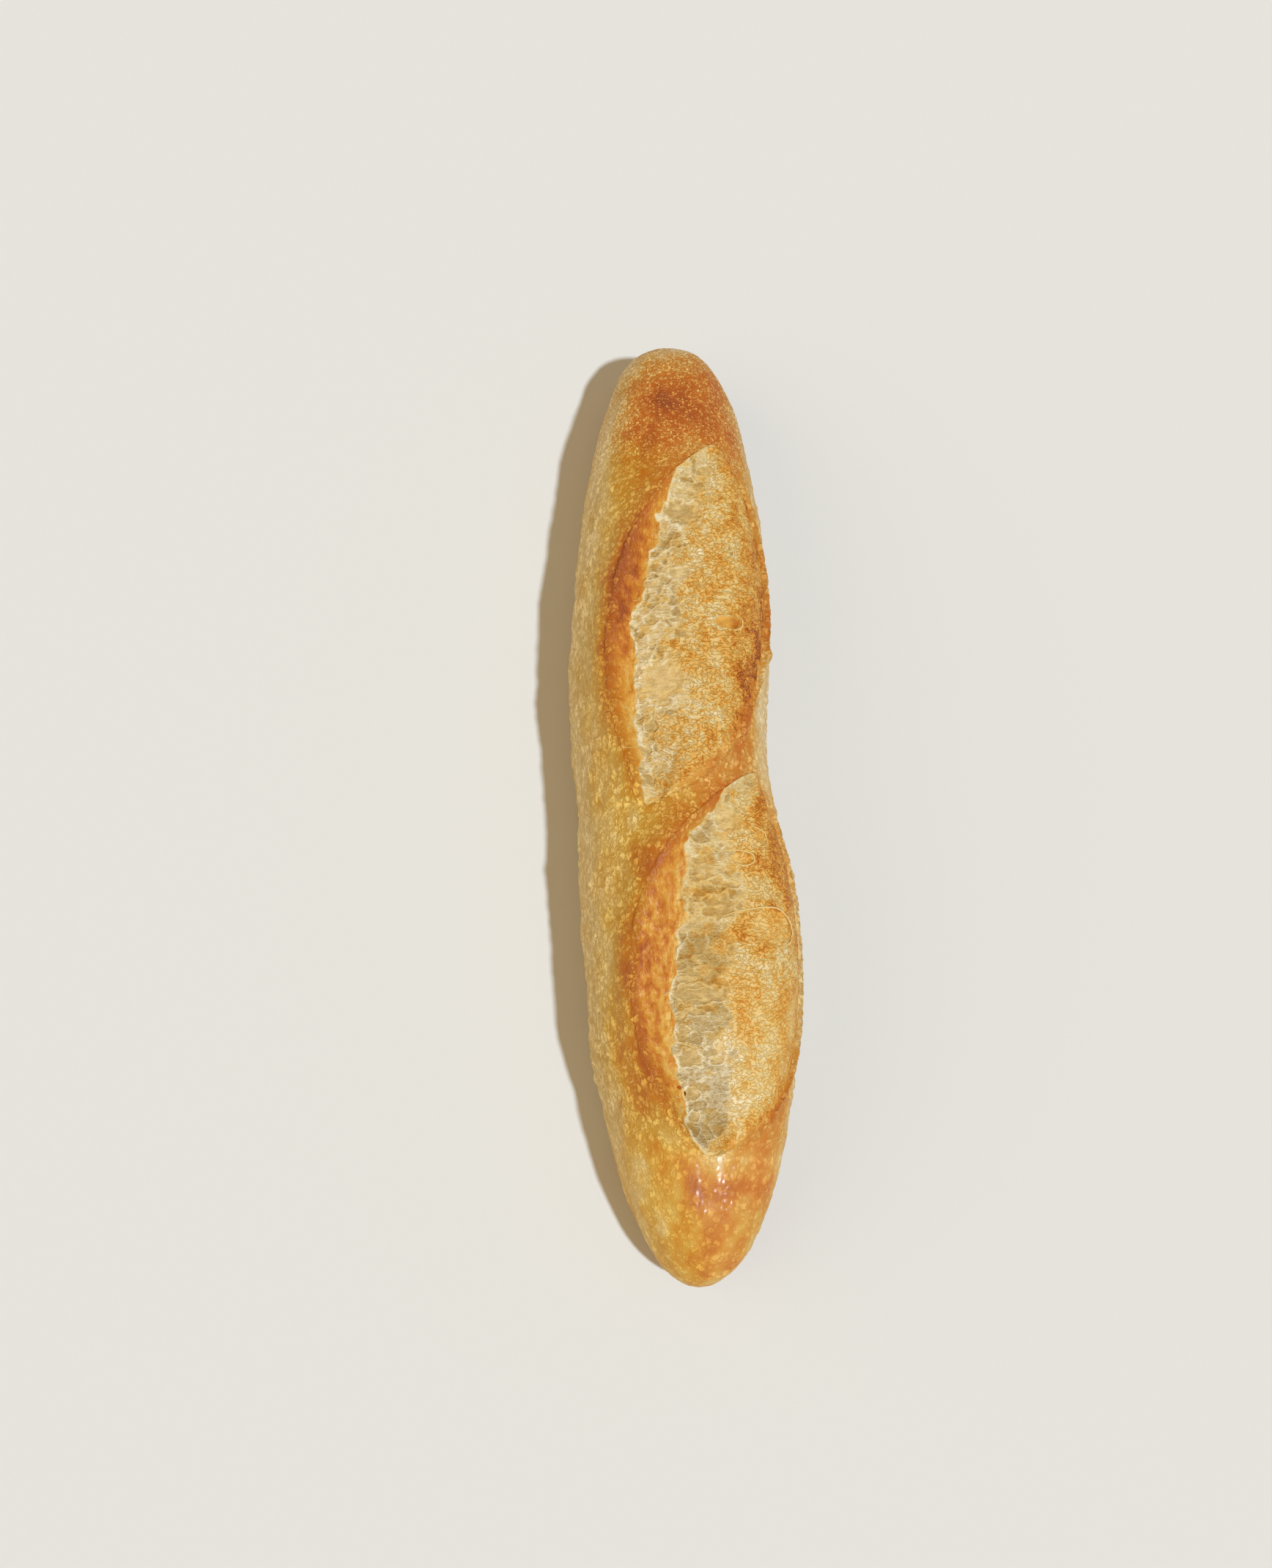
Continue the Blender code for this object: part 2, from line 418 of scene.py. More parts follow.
# How brown the skin is, from 0, pale, to 1, dark
def skinBake(station, angle):
    look = skinLook
    side = np.abs(angle)
    bake = look["topBake"] + comingIn(side, *look["sideBake"])
    ends = comingIn(-station, *look["nearEndBake"])
    ends = ends + comingIn(station, *look["farEndBake"]) * (angle > 0.0)
    bake = bake + ends * smoothStep(side, *look["endsFrom"])
    bake = bake + comingIn(side, *look["undersideBake"])
    for place, turn, along, across, change in skinPatches:
        bake = bake + change * patch(station, angle, place, turn, along, across)
    for name, slash in slashes.items():
        ear, _, rim = slashEdges(slash, station)
        strength = np.minimum(slashStrength(ear, rim) * 1.5, 1.0)
        strength = np.where(alongOpening(slash, station), strength, 0.0)
        crest, edge = alongSlash(crestBake[name], station), alongSlash(rimBake[name], station)
        bake = bake + strength * (crest * humps(overSkin(ear - angle), look["crestDark"]))
        bake = bake + strength * edge * humps(overSkin(angle - rim), look["rimDark"])
    return bake


# From 0, yellow, to 1, orange
def skinWarmth(station, angle):
    look = skinLook
    warm = comingIn(angle, *look["rightWarmth"]) + comingIn(station, *look["farEndWarmth"])
    warm = warm + comingIn(-station, *look["nearEndWarmth"])
    size, amount = look["warmthWaver"]
    plain = skinPoints(station, angle, 0.0 * station)
    return np.clip(warm + amount * grain(plain, size, 17.0), 0.0, 1.0)


# The far end has the finest speckle
def skinFineness(station):
    return smoothStep(station, *skinLook["fineFrom"])


# Where the speckle is faint: the near end and the strip beside the near rim
def skinCalm(station, angle):
    strip = comingIn(angle, *skinLook["stripCalm"]) * bell(station, *skinLook["stripAlong"])
    return np.maximum(comingIn(-station, *skinLook["nearEndCalm"]), strip)


def skinGloss(station, angle):
    allOver, added = skinLook["gloss"]
    return allOver + added * patch(station, angle, *skinLook["glint"])


# Height in mm of the skin's lumps and blisters
def skinRelief(plain, station, angle, streaky):
    look = skinLook
    size, height = look["lumps"]
    relief = height * grains(plain, size, 2, 3.0)
    softness, least, added, sinking = look["blisterForm"]
    for (size, height), share in ((look["blisters"], 1.0), (look["ripples"], streaky)):
        wall, pick = cells(plain, size, 5.0)
        raised = smoothStep(wall / softness) * (least + added * pick)
        relief = relief + share * height * (raised - sinking)
    for place, turn, along, across, height in skinLumps:
        relief = relief + height * patch(station, angle, place, turn, along, across)
    return smoothStep(plain[:, 2], *look["reliefAbove"]) * relief


# A round closed blank along Y: each point holds its station and its angle
def skinBlank():
    look = skinLook
    mesh = bmesh.new()
    half = loafForm["length"] / 2.0
    points = []
    for row in range(look["rows"]):
        turn = row / (look["rows"] - 1)
        crowded, even = -math.cos(math.pi * turn), 2.0 * turn - 1.0
        share = look["rowCrowding"] * crowded + (1.0 - look["rowCrowding"]) * even
        radius = math.sqrt(max(1.0 - share * share, 0.0))
        points.append(mesh.verts.new((0.0, half * share, -radius)))
    lines = [mesh.edges.new(pair) for pair in zip(points, points[1:])]
    bmesh.ops.spin(
        mesh, geom=points + lines, axis=(0, 1, 0), cent=(0, 0, 0),
        angle=math.tau, steps=look["columns"], use_merge=True,
    )
    bmesh.ops.remove_doubles(mesh, verts=mesh.verts, dist=1e-5)
    bmesh.ops.recalc_face_normals(mesh, faces=mesh.faces)
    return mesh


def makeSkin():
    look = skinLook
    mesh = skinBlank()
    places = meshPlaces(mesh)
    station = places[:, 1]
    turn = np.arctan2(places[:, 0], places[:, 2])
    angle = np.degrees(turn - look["topCrowding"] * np.sin(turn))

    height = sum(slashProfile(slash, station, angle) - sinkUnder(slash, station, angle)
                 for slash in slashes.values())
    plain = skinPoints(station, angle, 0.0 * station)
    ends, fading = look["streakyUpTo"]
    streaky = smoothStep(np.abs(angle), *look["streakyFrom"])
    streaky = streaky * smoothStep(ends - np.abs(station), 0.0, fading)
    height = height + skinRelief(plain, station, angle, streaky)
    size, mottle = look["mottle"]
    mottle = mottle * (1.0 + comingIn(-station, *look["nearEndMottle"]))
    bake = skinBake(station, angle) + mottle * grains(plain, size, 2, 11.0)
    layers = {
        "bake": np.clip(bake, 0.0, 1.0),
        "warm": skinWarmth(station, angle),
        "streaky": streaky,
        "fine": skinFineness(station),
        "calm": skinCalm(station, angle),
        "gloss": skinGloss(station, angle),
        "flour": smoothStep(np.abs(angle), *look["flourFrom"]),
    }
    return writeMesh("skin", mesh, skinPoints(station, angle, height), layers)


tornLook = {
    "rows": 470,
    "columns": 208,
    "columnShares": (0.05, 0.30, 0.93),   # where the ear, the tear and the rim lie across the grid
    "margin": 3.6,                        # how far the piece reaches under the skin, in mm
    "overTips": 3.0,
    "leastWidth": 0.8,                    # degrees kept between one edge and the next
    "core": 16.0,                         # depth of the hidden point that closes the piece
    "ragged": ((9.0, 2.4), (3.2, 1.1), (1.3, 0.4)),   # size and amount of a torn edge's waver
    "domeWaver": 3.2,
    "crumbNarrowing": (40.0, 0.7),        # opening that has the crumb's full width, and a power
    "crumbEdge": 0.35,                    # softness of the tear and of the dome's edge, in mm
    "domeEdge": 4.0,
    "openness": (4.0, 12.0),
    "smoothFrom": (50.0, 14.0),           # the near end's dome is smoother
    "smoother": 0.30,
    "smootherCalm": 0.25,
    "bandStep": (0.3, 3.0),               # how far the ear's torn edge stands over the crumb
    "gloss": (0.07, 0.03),                # on the ear's inner side, and all over
}

# What differs between the two torn faces
tornFaces = {
    "far": {
        "seed": 20.0,
        "coarser": 1.0,                   # contrast of the ear's inner side
        # where the torn edge steps aside: station, reach, distance in mm, positive into the crumb
        "notches": [(68.0, 2.6, 1.6), (41.0, 5.0, -1.5), (25.0, 4.5, 1.7)],
        "lipFade": (80.0, 9.0),
        "merged": (9.0, 17.0),            # station and reach where the rim melts into the skin
        "earEnds": (-30.0, -12.0, 78.0, 91.0),
        "toneLimit": 0.82,                # the darkest a tone makes the dough
        "crumbWidth": 11.5,               # pale crumb from the tear towards the dome, in mm
        "crumbCells": (3.6, 2.3, 1.0),
        "crumbShade": (0.34, 0.0),        # and how it changes towards the +Y tip
    },
    "near": {
        "seed": 50.0,
        "coarser": 1.6,
        "notches": [(-19.5, 4.5, -2.4), (-40.6, 1.9, 4.4), (-36.2, 1.6, 1.4), (-58.0, 2.2, -0.8),
                    (-90.0, 2.4, 0.9)],
        "lipFade": (-20.0, 7.0),
        "merged": (-97.0, 9.0),
        "earEnds": (-110.0, -90.0, -24.0, -10.0),
        "toneLimit": 0.68,
        "crumbWidth": 14.0,
        "crumbCells": (5.0, 3.0, 1.0),
        "crumbShade": (0.86, -0.42),
    },
}


# What shows in each torn face: kind, station, angle, reach along, reach across, amount, tilt
tornFeatures = {
    "far": [
        ("tone", 15.0, 35.0, 10.0, 3.4, 0.28, -18.0),
        ("lump", 15.0, 35.4, 9.0, 1.9, 0.6, -18.0),
        ("lump", 9.0, 31.0, 2.4, 1.8, 0.4, 0.0),
        ("bandTone", 58.0, -34.0, 18.0, 9.0, 0.13, 0.0),
        ("bandTone", 47.4, -34.0, 2.6, 2.0, 0.26, 0.0),
        ("bandTone", 12.0, -34.0, 18.0, 9.0, -0.20, 0.0),
        ("bandTone", 40.6, -34.0, 6.0, 3.0, 0.14, 0.0),
        ("cell", 91.2, 13.8, 1.7, 2.6, 0.5, 15.0),
        ("cell", 77.8, -1.0, 3.6, 5.0, 0.8, 0.0),
        ("pore", 75.0, -3.0, 0.5, 1.0, 0.6, 0.0),
        ("cell", 71.0, -11.8, 1.6, 1.3, 0.5, 0.0),
        ("pore", 68.6, -10.0, 0.7, 1.1, 0.8, -10.0),
        ("pore", 67.3, -2.2, 0.6, 0.9, 0.7, 20.0),
        ("pore", 67.6, 0.8, 0.5, 0.7, 0.6, 0.0),
        ("pore", 62.4, -10.8, 0.9, 1.0, 0.7, 30.0),
        ("pore", 58.2, -17.2, 0.6, 1.1, 0.7, 0.0),
        ("cell", 58.9, -2.5, 1.9, 3.2, 0.45, 0.0),
        ("cell", 55.7, -19.5, 1.2, 2.4, 0.5, 0.0),
        ("cell", 44.7, -19.5, 1.6, 2.4, 0.5, 0.0),
        ("cell", 13.3, -20.5, 2.2, 2.4, 0.7, 0.0),
        ("cell", 6.7, -25.0, 1.6, 2.0, 0.5, 0.0),
        ("cell", -2.4, -24.5, 2.0, 2.2, 0.6, 0.0),
        ("patch", 26.5, -14.0, 6.5, 6.0, 0.35, 0.0),
        ("tone", 12.0, 8.0, 16.0, 10.0, -0.05, -20.0),
        ("tone", 44.0, 42.0, 24.0, 9.0, 0.24, 0.0),
        ("tone", 30.0, 30.0, 12.0, 6.0, 0.10, 0.0),
        ("tone", 66.0, 8.0, 12.0, 7.0, -0.04, 0.0),
        ("tone", 80.0, 12.0, 12.0, 5.0, 0.08, 0.0),
        ("tone", 27.0, 5.0, 12.0, 5.0, 0.06, 0.0),
        ("pit", 43.8, 22.0, 1.9, 4.4, 1.5, 0.0),
        ("pore", 28.5, 34.8, 0.3, 0.3, 0.7, 0.0),
        ("pore", 75.3, 7.8, 0.9, 0.3, 0.5, 0.0),
        ("slit", 66.0, 26.0, 1.7, 0.45, 0.8, 12.0),
        ("slit", 34.6, 34.4, 3.2, 0.35, 0.5, -6.0),
    ],
    "near": [
        ("bandTone", -28.0, -16.0, 8.0, 6.0, -0.10, 0.0),
        ("bandTone", -50.0, -26.0, 16.0, 8.0, 0.06, 0.0),
        ("bandTone", -41.0, -8.0, 2.4, 3.0, -0.20, 0.0),
        ("bandTone", -86.0, -20.0, 14.0, 9.0, -0.12, 0.0),
        ("patch", -12.2, 16.5, 4.4, 3.4, 0.50, 12.0),
        ("cell", -24.2, 0.2, 1.2, 2.2, 0.5, 10.0),
        ("pore", -29.6, -2.5, 0.7, 1.5, 0.7, -8.0),
        ("cell", -30.8, 16.0, 1.2, 2.3, 0.6, -10.0),
        ("pore", -32.7, 19.2, 0.4, 0.9, 0.7, 0.0),
        ("pore", -35.3, -11.0, 0.4, 0.4, 0.8, 0.0),
        ("cell", -37.0, 7.8, 3.6, 4.6, 0.9, 20.0),
        ("tone", -20.0, 46.0, 16.0, 9.0, 0.24, 20.0),
        ("tone", -32.0, 50.0, 10.0, 6.0, 0.10, 0.0),
        ("tone", -32.0, -2.0, 10.0, 7.0, 0.12, 0.0),
        ("tone", -48.0, 8.0, 8.0, 7.0, 0.06, 0.0),
        ("tone", -46.0, 24.0, 18.0, 8.0, 0.05, 0.0),
        ("tone", -85.0, 10.0, 14.0, 12.0, -0.10, 0.0),
        ("tone", -60.0, 30.0, 14.0, 8.0, -0.03, 0.0),
        ("tone", -56.0, -5.0, 7.0, 6.0, 0.08, 0.0),
        ("tone", -60.0, 15.0, 10.0, 8.0, 0.07, 0.0),
        ("bubble", -42.5, 36.0, 5.4, 6.4, 0.7, 0.0),
        ("bubble", -23.8, 22.5, 1.7, 2.7, 0.5, 0.0),
        ("bubble", -17.5, 36.0, 1.6, 2.6, 0.35, 0.0),
        ("cell", -57.1, -10.0, 0.9, 2.4, 0.6, 0.0),
        ("cell", -61.0, -4.5, 2.7, 6.4, 1.0, 0.0),
        ("cell", -65.6, -7.5, 1.2, 2.4, 0.7, 0.0),
        ("cell", -66.6, -14.2, 1.1, 1.5, 0.6, 0.0),
        ("cell", -70.7, -13.8, 1.6, 1.8, 0.6, 0.0),
        ("slit", -74.7, -9.0, 0.4, 3.6, 0.6, -14.0),
        ("cell", -78.0, -10.8, 2.6, 3.6, 0.5, 0.0),
        ("cell", -78.6, 2.5, 1.3, 2.2, 0.4, 0.0),
        ("cell", -87.3, -11.2, 1.8, 2.6, 0.6, 0.0),
        ("cell", -93.3, -10.2, 1.6, 1.6, 0.6, 0.0),
        ("speck", -85.5, -18.2, 0.5, 0.6, 0.9, 0.0),
        ("speck", -87.0, -15.2, 0.7, 0.35, 0.9, 0.0),
    ],
}

# How a kind of feature changes the face, for an amount of 1 where it is a depth
plainFeature = {
    "flatten": 0.0,       # share of the fine relief that goes
    "floor": 0.0,         # depth of its flat floor and of its bowl, in mm
    "bowl": 0.0,
    "lean": 0.0,          # how much deeper its right side is
    "rise": 0.0,          # of its edge
    "ownShare": 0.0,      # how far its own bake replaces what is there
    "bake": 0.0,
    "edgeBake": 0.0,
    "deepBake": 0.0,
    # painted shade in its hollow, and how much more of it falls on its left side
    "hollow": 0.0,
    "leftShade": 0.35,
    "calm": 0.0,
    "waver": 0.0,         # of its outline
    "isCrumb": False,
}
featureForms = {
    "cell": {"flatten": 0.5, "floor": 0.45, "bowl": 0.60, "lean": 0.45, "rise": 0.16,
             "ownShare": 0.70, "bake": 0.20, "edgeBake": -0.06, "hollow": 0.85, "calm": 0.45,
             "waver": 0.45, "isCrumb": True},
    "patch": {"flatten": 0.6, "floor": 1.00, "rise": 0.06, "ownShare": 0.70, "bake": 0.18,
              "edgeBake": -0.04, "hollow": 0.60, "leftShade": 0.0, "calm": 0.60, "waver": 0.40,
              "isCrumb": True},
    "pore": {"bowl": 1.00, "rise": 0.06, "hollow": 0.90, "waver": 0.20},
    "slit": {"bowl": 1.00, "rise": 0.25, "ownShare": 0.50, "bake": 0.50, "edgeBake": -0.15,
             "hollow": 0.50},
    "pit": {"flatten": 1.0, "floor": 0.70, "bowl": 0.40, "lean": 0.60, "rise": 0.24,
            "ownShare": 1.00, "bake": 0.42, "edgeBake": -0.16, "deepBake": 0.24, "hollow": 0.48,
            "leftShade": 0.0, "calm": 0.90, "waver": 0.06},
    "bubble": {"flatten": 0.5, "bowl": 1.00, "rise": 0.15, "ownShare": 0.50, "bake": 0.40,
               "edgeBake": 0.06, "calm": 0.30, "waver": 0.06},
    "speck": {"bowl": 0.40, "ownShare": 1.00, "bake": 1.00, "hollow": 1.00, "calm": 1.00,
              "waver": 0.60},
}
featureLook = {
    "floorEdge": (0.80, 0.25),
    "edge": (1.03, 0.13),             # place and width of the raised edge, as shares of the reach
    # its deeper right side: browner, and with painted shade
    "deepSide": (0.1, 0.7),
    "deepShade": 3.0,
    # its raised edge is mostly kept free of painted shade
    "edgePaling": 0.9,
    "waverSize": (1.6, 1.8),          # in mm, and the share of the reach up to which it wavers
    # spotting of the painted shade, and the least amount of it that a feature gives
    "spots": ((2.6, 1.4, 1.0), 1.2),
    "leastDark": 0.3,
}


# Distance from a feature's middle as a share of its reach, and the share across it
def featureShare(at, feature):
    place, turn, along, across, _, tilt = feature[1:]
    forward, sideways = at["station"] - place, overSkin(at["angle"] - turn)
    cosine, sine = math.cos(math.radians(tilt)), math.sin(math.radians(tilt))
    turnedAcross = (sideways * cosine + forward * sine) / across
    turnedAlong = (forward * cosine - sideways * sine) / along
    return np.hypot(turnedAcross, turnedAlong), turnedAcross


def addTone(face, at, feature, limit):
    kind, amount = feature[0], feature[5]
    shown = 1.0 - face["isCrumb"] if kind == "bandTone" else face["isCrumb"]
    added = shown * amount * hump(featureShare(at, feature)[0], 1.0)
    if kind == "lump":
        face["height"] = face["height"] + added
        return
    limit = limit if kind == "tone" else 1.0
    face["bake"] = np.minimum(face["bake"] + added, np.maximum(face["bake"], limit))


# Sinks a feature into the face, with its own bake and painted shade in its hollow, heavier on its
# left side
def addHollow(face, at, feature):
    look, form, amount = featureLook, {**plainFeature, **featureForms[feature[0]]}, feature[5]
    far, side = featureShare(at, feature)
    leaningSide = np.clip(side, -1.0, 1.0)
    size, within = look["waverSize"]
    far = far + form["waver"] * np.where(far < within, grain(at["flat"], size, feature[1]), 0.0)
    inside = 1.0 - smoothStep(far, *look["floorEdge"])
    bowl = np.clip(1.0 - far**2, 0.0, 1.0)
    edgeAt, edgeWidth = look["edge"]
    edge = hump(far - edgeAt, edgeWidth)

    leaning = 1.0 - form["lean"] + form["lean"] * leaningSide
    depth = amount * (form["floor"] * inside + form["bowl"] * bowl) * leaning
    face["height"] = face["height"] * (1.0 - form["flatten"] * inside) + form["rise"] * edge - depth
    kept = 1.0 - form["ownShare"] * inside
    deep = form["deepBake"] * inside * smoothStep(side, *look["deepSide"])
    own = form["ownShare"] * form["bake"] * inside + form["edgeBake"] * edge + deep
    face["bake"] = face["bake"] * kept + own
    spotSize, spotting = look["spots"]
    # painted shade in the hollow, spotty and heavier on its left side
    darker = form["hollow"] * (1.0 + spotting * grain(at["flat"], spotSize, 3.0))
    darker = darker * (1.0 - form["leftShade"] * leaningSide)
    darker = darker * min(amount + look["leastDark"], 1.0)
    hollow = face["hollow"] * kept + np.maximum(inside, bowl) * darker
    paling = look["edgePaling"] * edge * (form["rise"] > 0.0)
    face["hollow"] = (hollow + look["deepShade"] * deep) * (1.0 - paling)
    face["calm"] = np.maximum(face["calm"], form["calm"] * inside)
    if form["isCrumb"]:
        face["crumb"] = np.maximum(face["crumb"], inside)
        face["dome"] = face["dome"] * (1.0 - inside)


def waver(flat, seed):
    return sum(amount * grain(flat, size, seed + size) for size, amount in tornLook["ragged"])


# Thin lines where the noise crosses nothing
def ridges(values, sharpness):
    return np.clip(1.0 - np.abs(values) * sharpness, 0.0, 1.0)


# Height and change of bake of a list of noises: size in mm, octaves, sharpness of its ridges or 0
# for plain grain, seed, height in mm, change of bake
def sumNoises(flat, noises):
    height, bake = 0.0, 0.0
    for size, octaves, sharpness, seed, rise, change in noises:
        value = grains(flat, size, octaves, seed)
        if sharpness:
            value = ridges(value, sharpness)
        height, bake = height + rise * value, bake + change * value
    return height, bake


# The ear's inner side: browned fibres along it, golden and thin where it tore
bandLook = {
    "noises": [
        ((0.9, 3.0, 1.0), 2, 0.0, 4.0, 0.30, 0.12),       # fibres
        ((1.6, 9.0, 1.0), 1, 0.0, 9.0, 0.35, 0.18),       # streaks
        ((2.0, 3.2, 1.0), 3, 0.0, 12.0, 0.30, 0.20),      # chunks
        ((1.0, 2.4, 1.0), 1, 8.0, 14.0, 0.10, -0.07),     # hairs
    ],
    "bake": 0.65,
    "bakeLimits": (0.40, 0.84),
    "crest": (0.28, 3.0),             # amount and reach in mm
    "golden": (0.14, 3.2),
    "thin": (0.09, 1.6),
}


def bandFinish(at, crest, coarser):
    look, flat = bandLook, at["flat"]
    height, change = sumNoises(flat, look["noises"])
    bake = np.clip(look["bake"] + coarser * change, *look["bakeLimits"])
    amount, reach = look["crest"]
    bake = bake + crest * amount * hump(at["fromEar"], reach)
    amount, reach = look["golden"]
    spread = np.clip(0.65 + 1.6 * grain(flat, (2.6, 4.5, 1.0), 66.0), 0.0, 1.2)
    bake = bake - amount * hump(at["overTear"], reach) * spread
    amount, reach = look["thin"]
    spread = smoothStep(grain(flat, 3.4, 18.0), -0.35, 0.3)
    return height, bake - amount * hump(at["overTear"], reach) * spread


# Pale crumb: cells pulled out across the opening, thin walls and fibres, with painted shade over
# the crumb and in its opened cells
crumbLook = {
    "bending": ((2.4, 0.9), (2.1, 0.7)),      # size and amount in mm, across and along
    "fineCells": (1.7, 0.85, 1.0),
    "fibres": ((3.6, 0.45, 1.0), 6.0),
    "height": (0.10, {"opened": -0.40, "fineOpened": -0.12, "fibres": 0.12, "thinWall": 0.16}),
    "bake": (0.20, {"golden": 0.15, "fibres": -0.07, "thinWall": -0.06, "opened": 0.05}),
    # less painted shade on fibres and thin walls
    "hollow": {"fibres": -0.2, "thinWall": -0.4},
    "unevenHeight": ((2.5, 1.2, 1.0), 0.16),
    "unevenBake": ((1.4, 0.7, 1.0), 0.10),
    "unevenShade": ((5.0, 3.5, 1.0), 0.5),
    "shadeChangeFrom": (-50.0, 14.0),
}


def changed(masks, value, amounts):
    return sum((amounts[name] * masks[name] for name in amounts), value)


def crumbFinish(flat, own):
    look, seed = crumbLook, own["seed"]
    (acrossSize, across), (alongSize, along) = look["bending"]
    bending = [across * grain(flat, acrossSize, seed), along * grain(flat, alongSize, seed + 5.0)]
    bent = flat + np.stack(bending + [0.0 * flat[:, 0]], axis=-1)
    wall, pick = cells(bent, own["crumbCells"], seed)
    fineWall, finePick = cells(bent, look["fineCells"], seed + 3.0)
    size, sharpness = look["fibres"]
    masks = {
        "opened": smoothStep(pick, 0.38, 0.2) * smoothStep(wall, 0.05, 0.16),
        "fineOpened": smoothStep(finePick, 0.5, 0.3) * smoothStep(fineWall, 0.0, 0.35),
        "thinWall": hump(wall, 0.07) * smoothStep(grain(flat, 3.0, 61.0), -0.2, 0.3),
        "fibres": ridges(grain(flat, size, 6.0), sharpness)
        * smoothStep(grain(flat, 3.0, 8.0), -0.05, 0.3),
        "golden": smoothStep(grains(flat, (4.5, 3.5, 1.0), 2, 15.0), 0.06, 0.35),
    }
    size, uneven = look["unevenHeight"]
    height = changed(masks, *look["height"]) + uneven * grains(flat, size, 2, 19.0)
    size, uneven = look["unevenBake"]
    bake = changed(masks, *look["bake"]) + uneven * grains(flat, size, 2, 22.0)
    size, uneven = look["unevenShade"]
    shade, towardsTip = own["crumbShade"]
    shade = shade + towardsTip * smoothStep(flat[:, 1], *look["shadeChangeFrom"])
    # painted shade over the crumb, more in its opened cells
    hollow = shade + uneven * grains(flat, size, 2, 52.0) + masks["opened"] * (0.26 + 0.4 * pick)
    hollow = hollow + 0.2 * masks["fineOpened"] * (0.35 + 0.65 * pick)
    return height, bake, np.clip(changed(masks, hollow, look["hollow"]), 0.0, 1.0)


# Torn dough that dried out in the open: fine tangled fibres, gold on cream
domeLook = {
    "noises": [
        ((1.7, 1.2, 1.0), 3, 0.0, 27.0, 0.26, 0.24),
        ((6.0, 7.0, 1.0), 2, 0.0, 29.0, 0.25, 0.30),
        ((1.2, 0.8, 1.0), 1, 5.0, 25.0, 0.12, -0.05),     # tangle
    ],
    "height": 0.28,
    "bake": 0.35,
    "bakeLimits": (0.16, 0.60),
    "fresh": (0.09, 5.0),             # paler where it opened last: amount and reach in mm
    "rim": (0.20, 7.5),
    "upright": ((0.8, 3.0, 1.0), 0.26),
}


def domeFinish(at, rougher):
    look, flat = domeLook, at["flat"]
    height, change = sumNoises(flat, look["noises"])
    bake = np.clip(look["bake"] + rougher * change, *look["bakeLimits"])
    amount, reach = look["fresh"]
    bake = bake - amount * hump(np.maximum(at["overDome"], 0.0), reach)
    amount, reach = look["rim"]
    size, contrast = look["upright"]
    nearRim = at["openness"] * hump(np.maximum(at["toRim"], 0.0), reach)
    bake = bake + nearRim * (amount + contrast * grains(flat, size, 2, 35.0))
    return look["height"] + rougher * height, bake


# Distances in mm from the edges of a torn face, and how open the slash is
def tornPlaces(name, station, angle):
    slash, own, look = slashes[name], tornFaces[name], tornLook
    seed = own["seed"]
    ear, tear, rim = slashEdges(slash, station)
    strength = slashStrength(ear, rim)
    flat = np.stack([overSkin(angle), station, 0.0 * station + seed], axis=-1)
    fromTear, opening = overSkin(angle - tear), overSkin(rim - tear)
    fullAt, power = look["crumbNarrowing"]
    width = own["crumbWidth"] * np.clip(opening / fullAt, 0.0, 1.0) ** power
    start, reach = look["openness"]
    return {
        "station": station,
        "angle": angle,
        "flat": flat,
        "strength": strength,
        "fromEar": overSkin(angle - ear),
        "overTear": fromTear + (waver(flat, seed) - alongSlash(own["notches"], station)) * strength,
        "overDome": fromTear - width + look["domeWaver"] * waver(flat + 31.0, -seed),
        "toRim": overSkin(rim - angle),
        "pastTear": angle - tear,
        "pastTip": np.maximum(slash["nearTip"][0] - station, station - slash["farTip"][0]),
        "openness": np.clip((opening - start) / reach, 0.0, 1.0),
    }


tearLook = {
    "fading": 0.85,                   # of the edge where the ear runs out
    "lip": (0.45, 0.5, 0.25),         # distance past the tear, reach and height in mm
    "lipBake": 0.09,
    "under": (1.9, 1.0, 0.25),
    # painted shade in the dip beside the lip
    "underShade": 0.35,
    "flatReach": 2.0,
    # how much painted shade goes beside the tear where the ear runs out
    "paleReach": (0.7, 1.2),
}


# A pale lip along the tear and a dip beside it with painted shade, both gone where the ear runs out
def finishTear(face, at, own):
    look, flat, overTear, isCrumb = tearLook, at["flat"], at["overTear"], face["isCrumb"]
    faded = smoothStep(at["station"], *own["lipFade"])
    clearEdge = at["strength"] * (1.0 - look["fading"] * faded)
    place, reach, lipHeight = look["lip"]
    lip = hump(overTear - place, reach) * clearEdge
    lip = lip * smoothStep(grain(flat, 3.0, 41.0), -0.30, 0.35)
    place, reach, underDepth = look["under"]
    under = hump(overTear - place, reach)
    under = under * smoothStep(grain(flat, (2.0, 2.6, 1.0), 43.0), -0.1, 0.3) * clearEdge
    edge = (lipHeight * lip - underDepth * under * face["crumb"]) * isCrumb
    face["height"] = face["height"] * (1.0 - faded * hump(overTear, look["flatReach"])) + edge
    amount, reach = look["paleReach"]
    hollow = face["hollow"] * (1.0 - amount * faded * hump(overTear, reach))
    face["hollow"] = (hollow + look["underShade"] * under * face["crumb"]) * (1.0 - lip)
    face["bake"] = face["bake"] + isCrumb * lip * (look["lipBake"] - face["bake"])


closingLook = {
    "ragged": ((4.0, 4.0, 1.0), 1.5, 0.1, 3.0),   # size, amount, added, reach past the rim
    "shownOver": 1.5,
    "leastShown": 0.3,
    "leastRelief": 0.25,
    "mergedOver": 8.0,                # degrees past the tear
    "lift": (0.25, 0.8, 0.8),         # in mm, how much less where merged, reach inwards
    "sink": (1.6, 2.6),
    "rimStepOver": 5.0,
    "bandFrom": (0.4, 3.4),
    "crustOnBand": 0.35,              # how far the ear's inner side has the skin's speckle
    "blending": (2.4, 3.0),           # reach of the skin's colour inside the rim, more if merged
    "rough": ((1.6, 3.0, 1.0), 2.4),
    "rimDark": (0.16, 4.5),
}


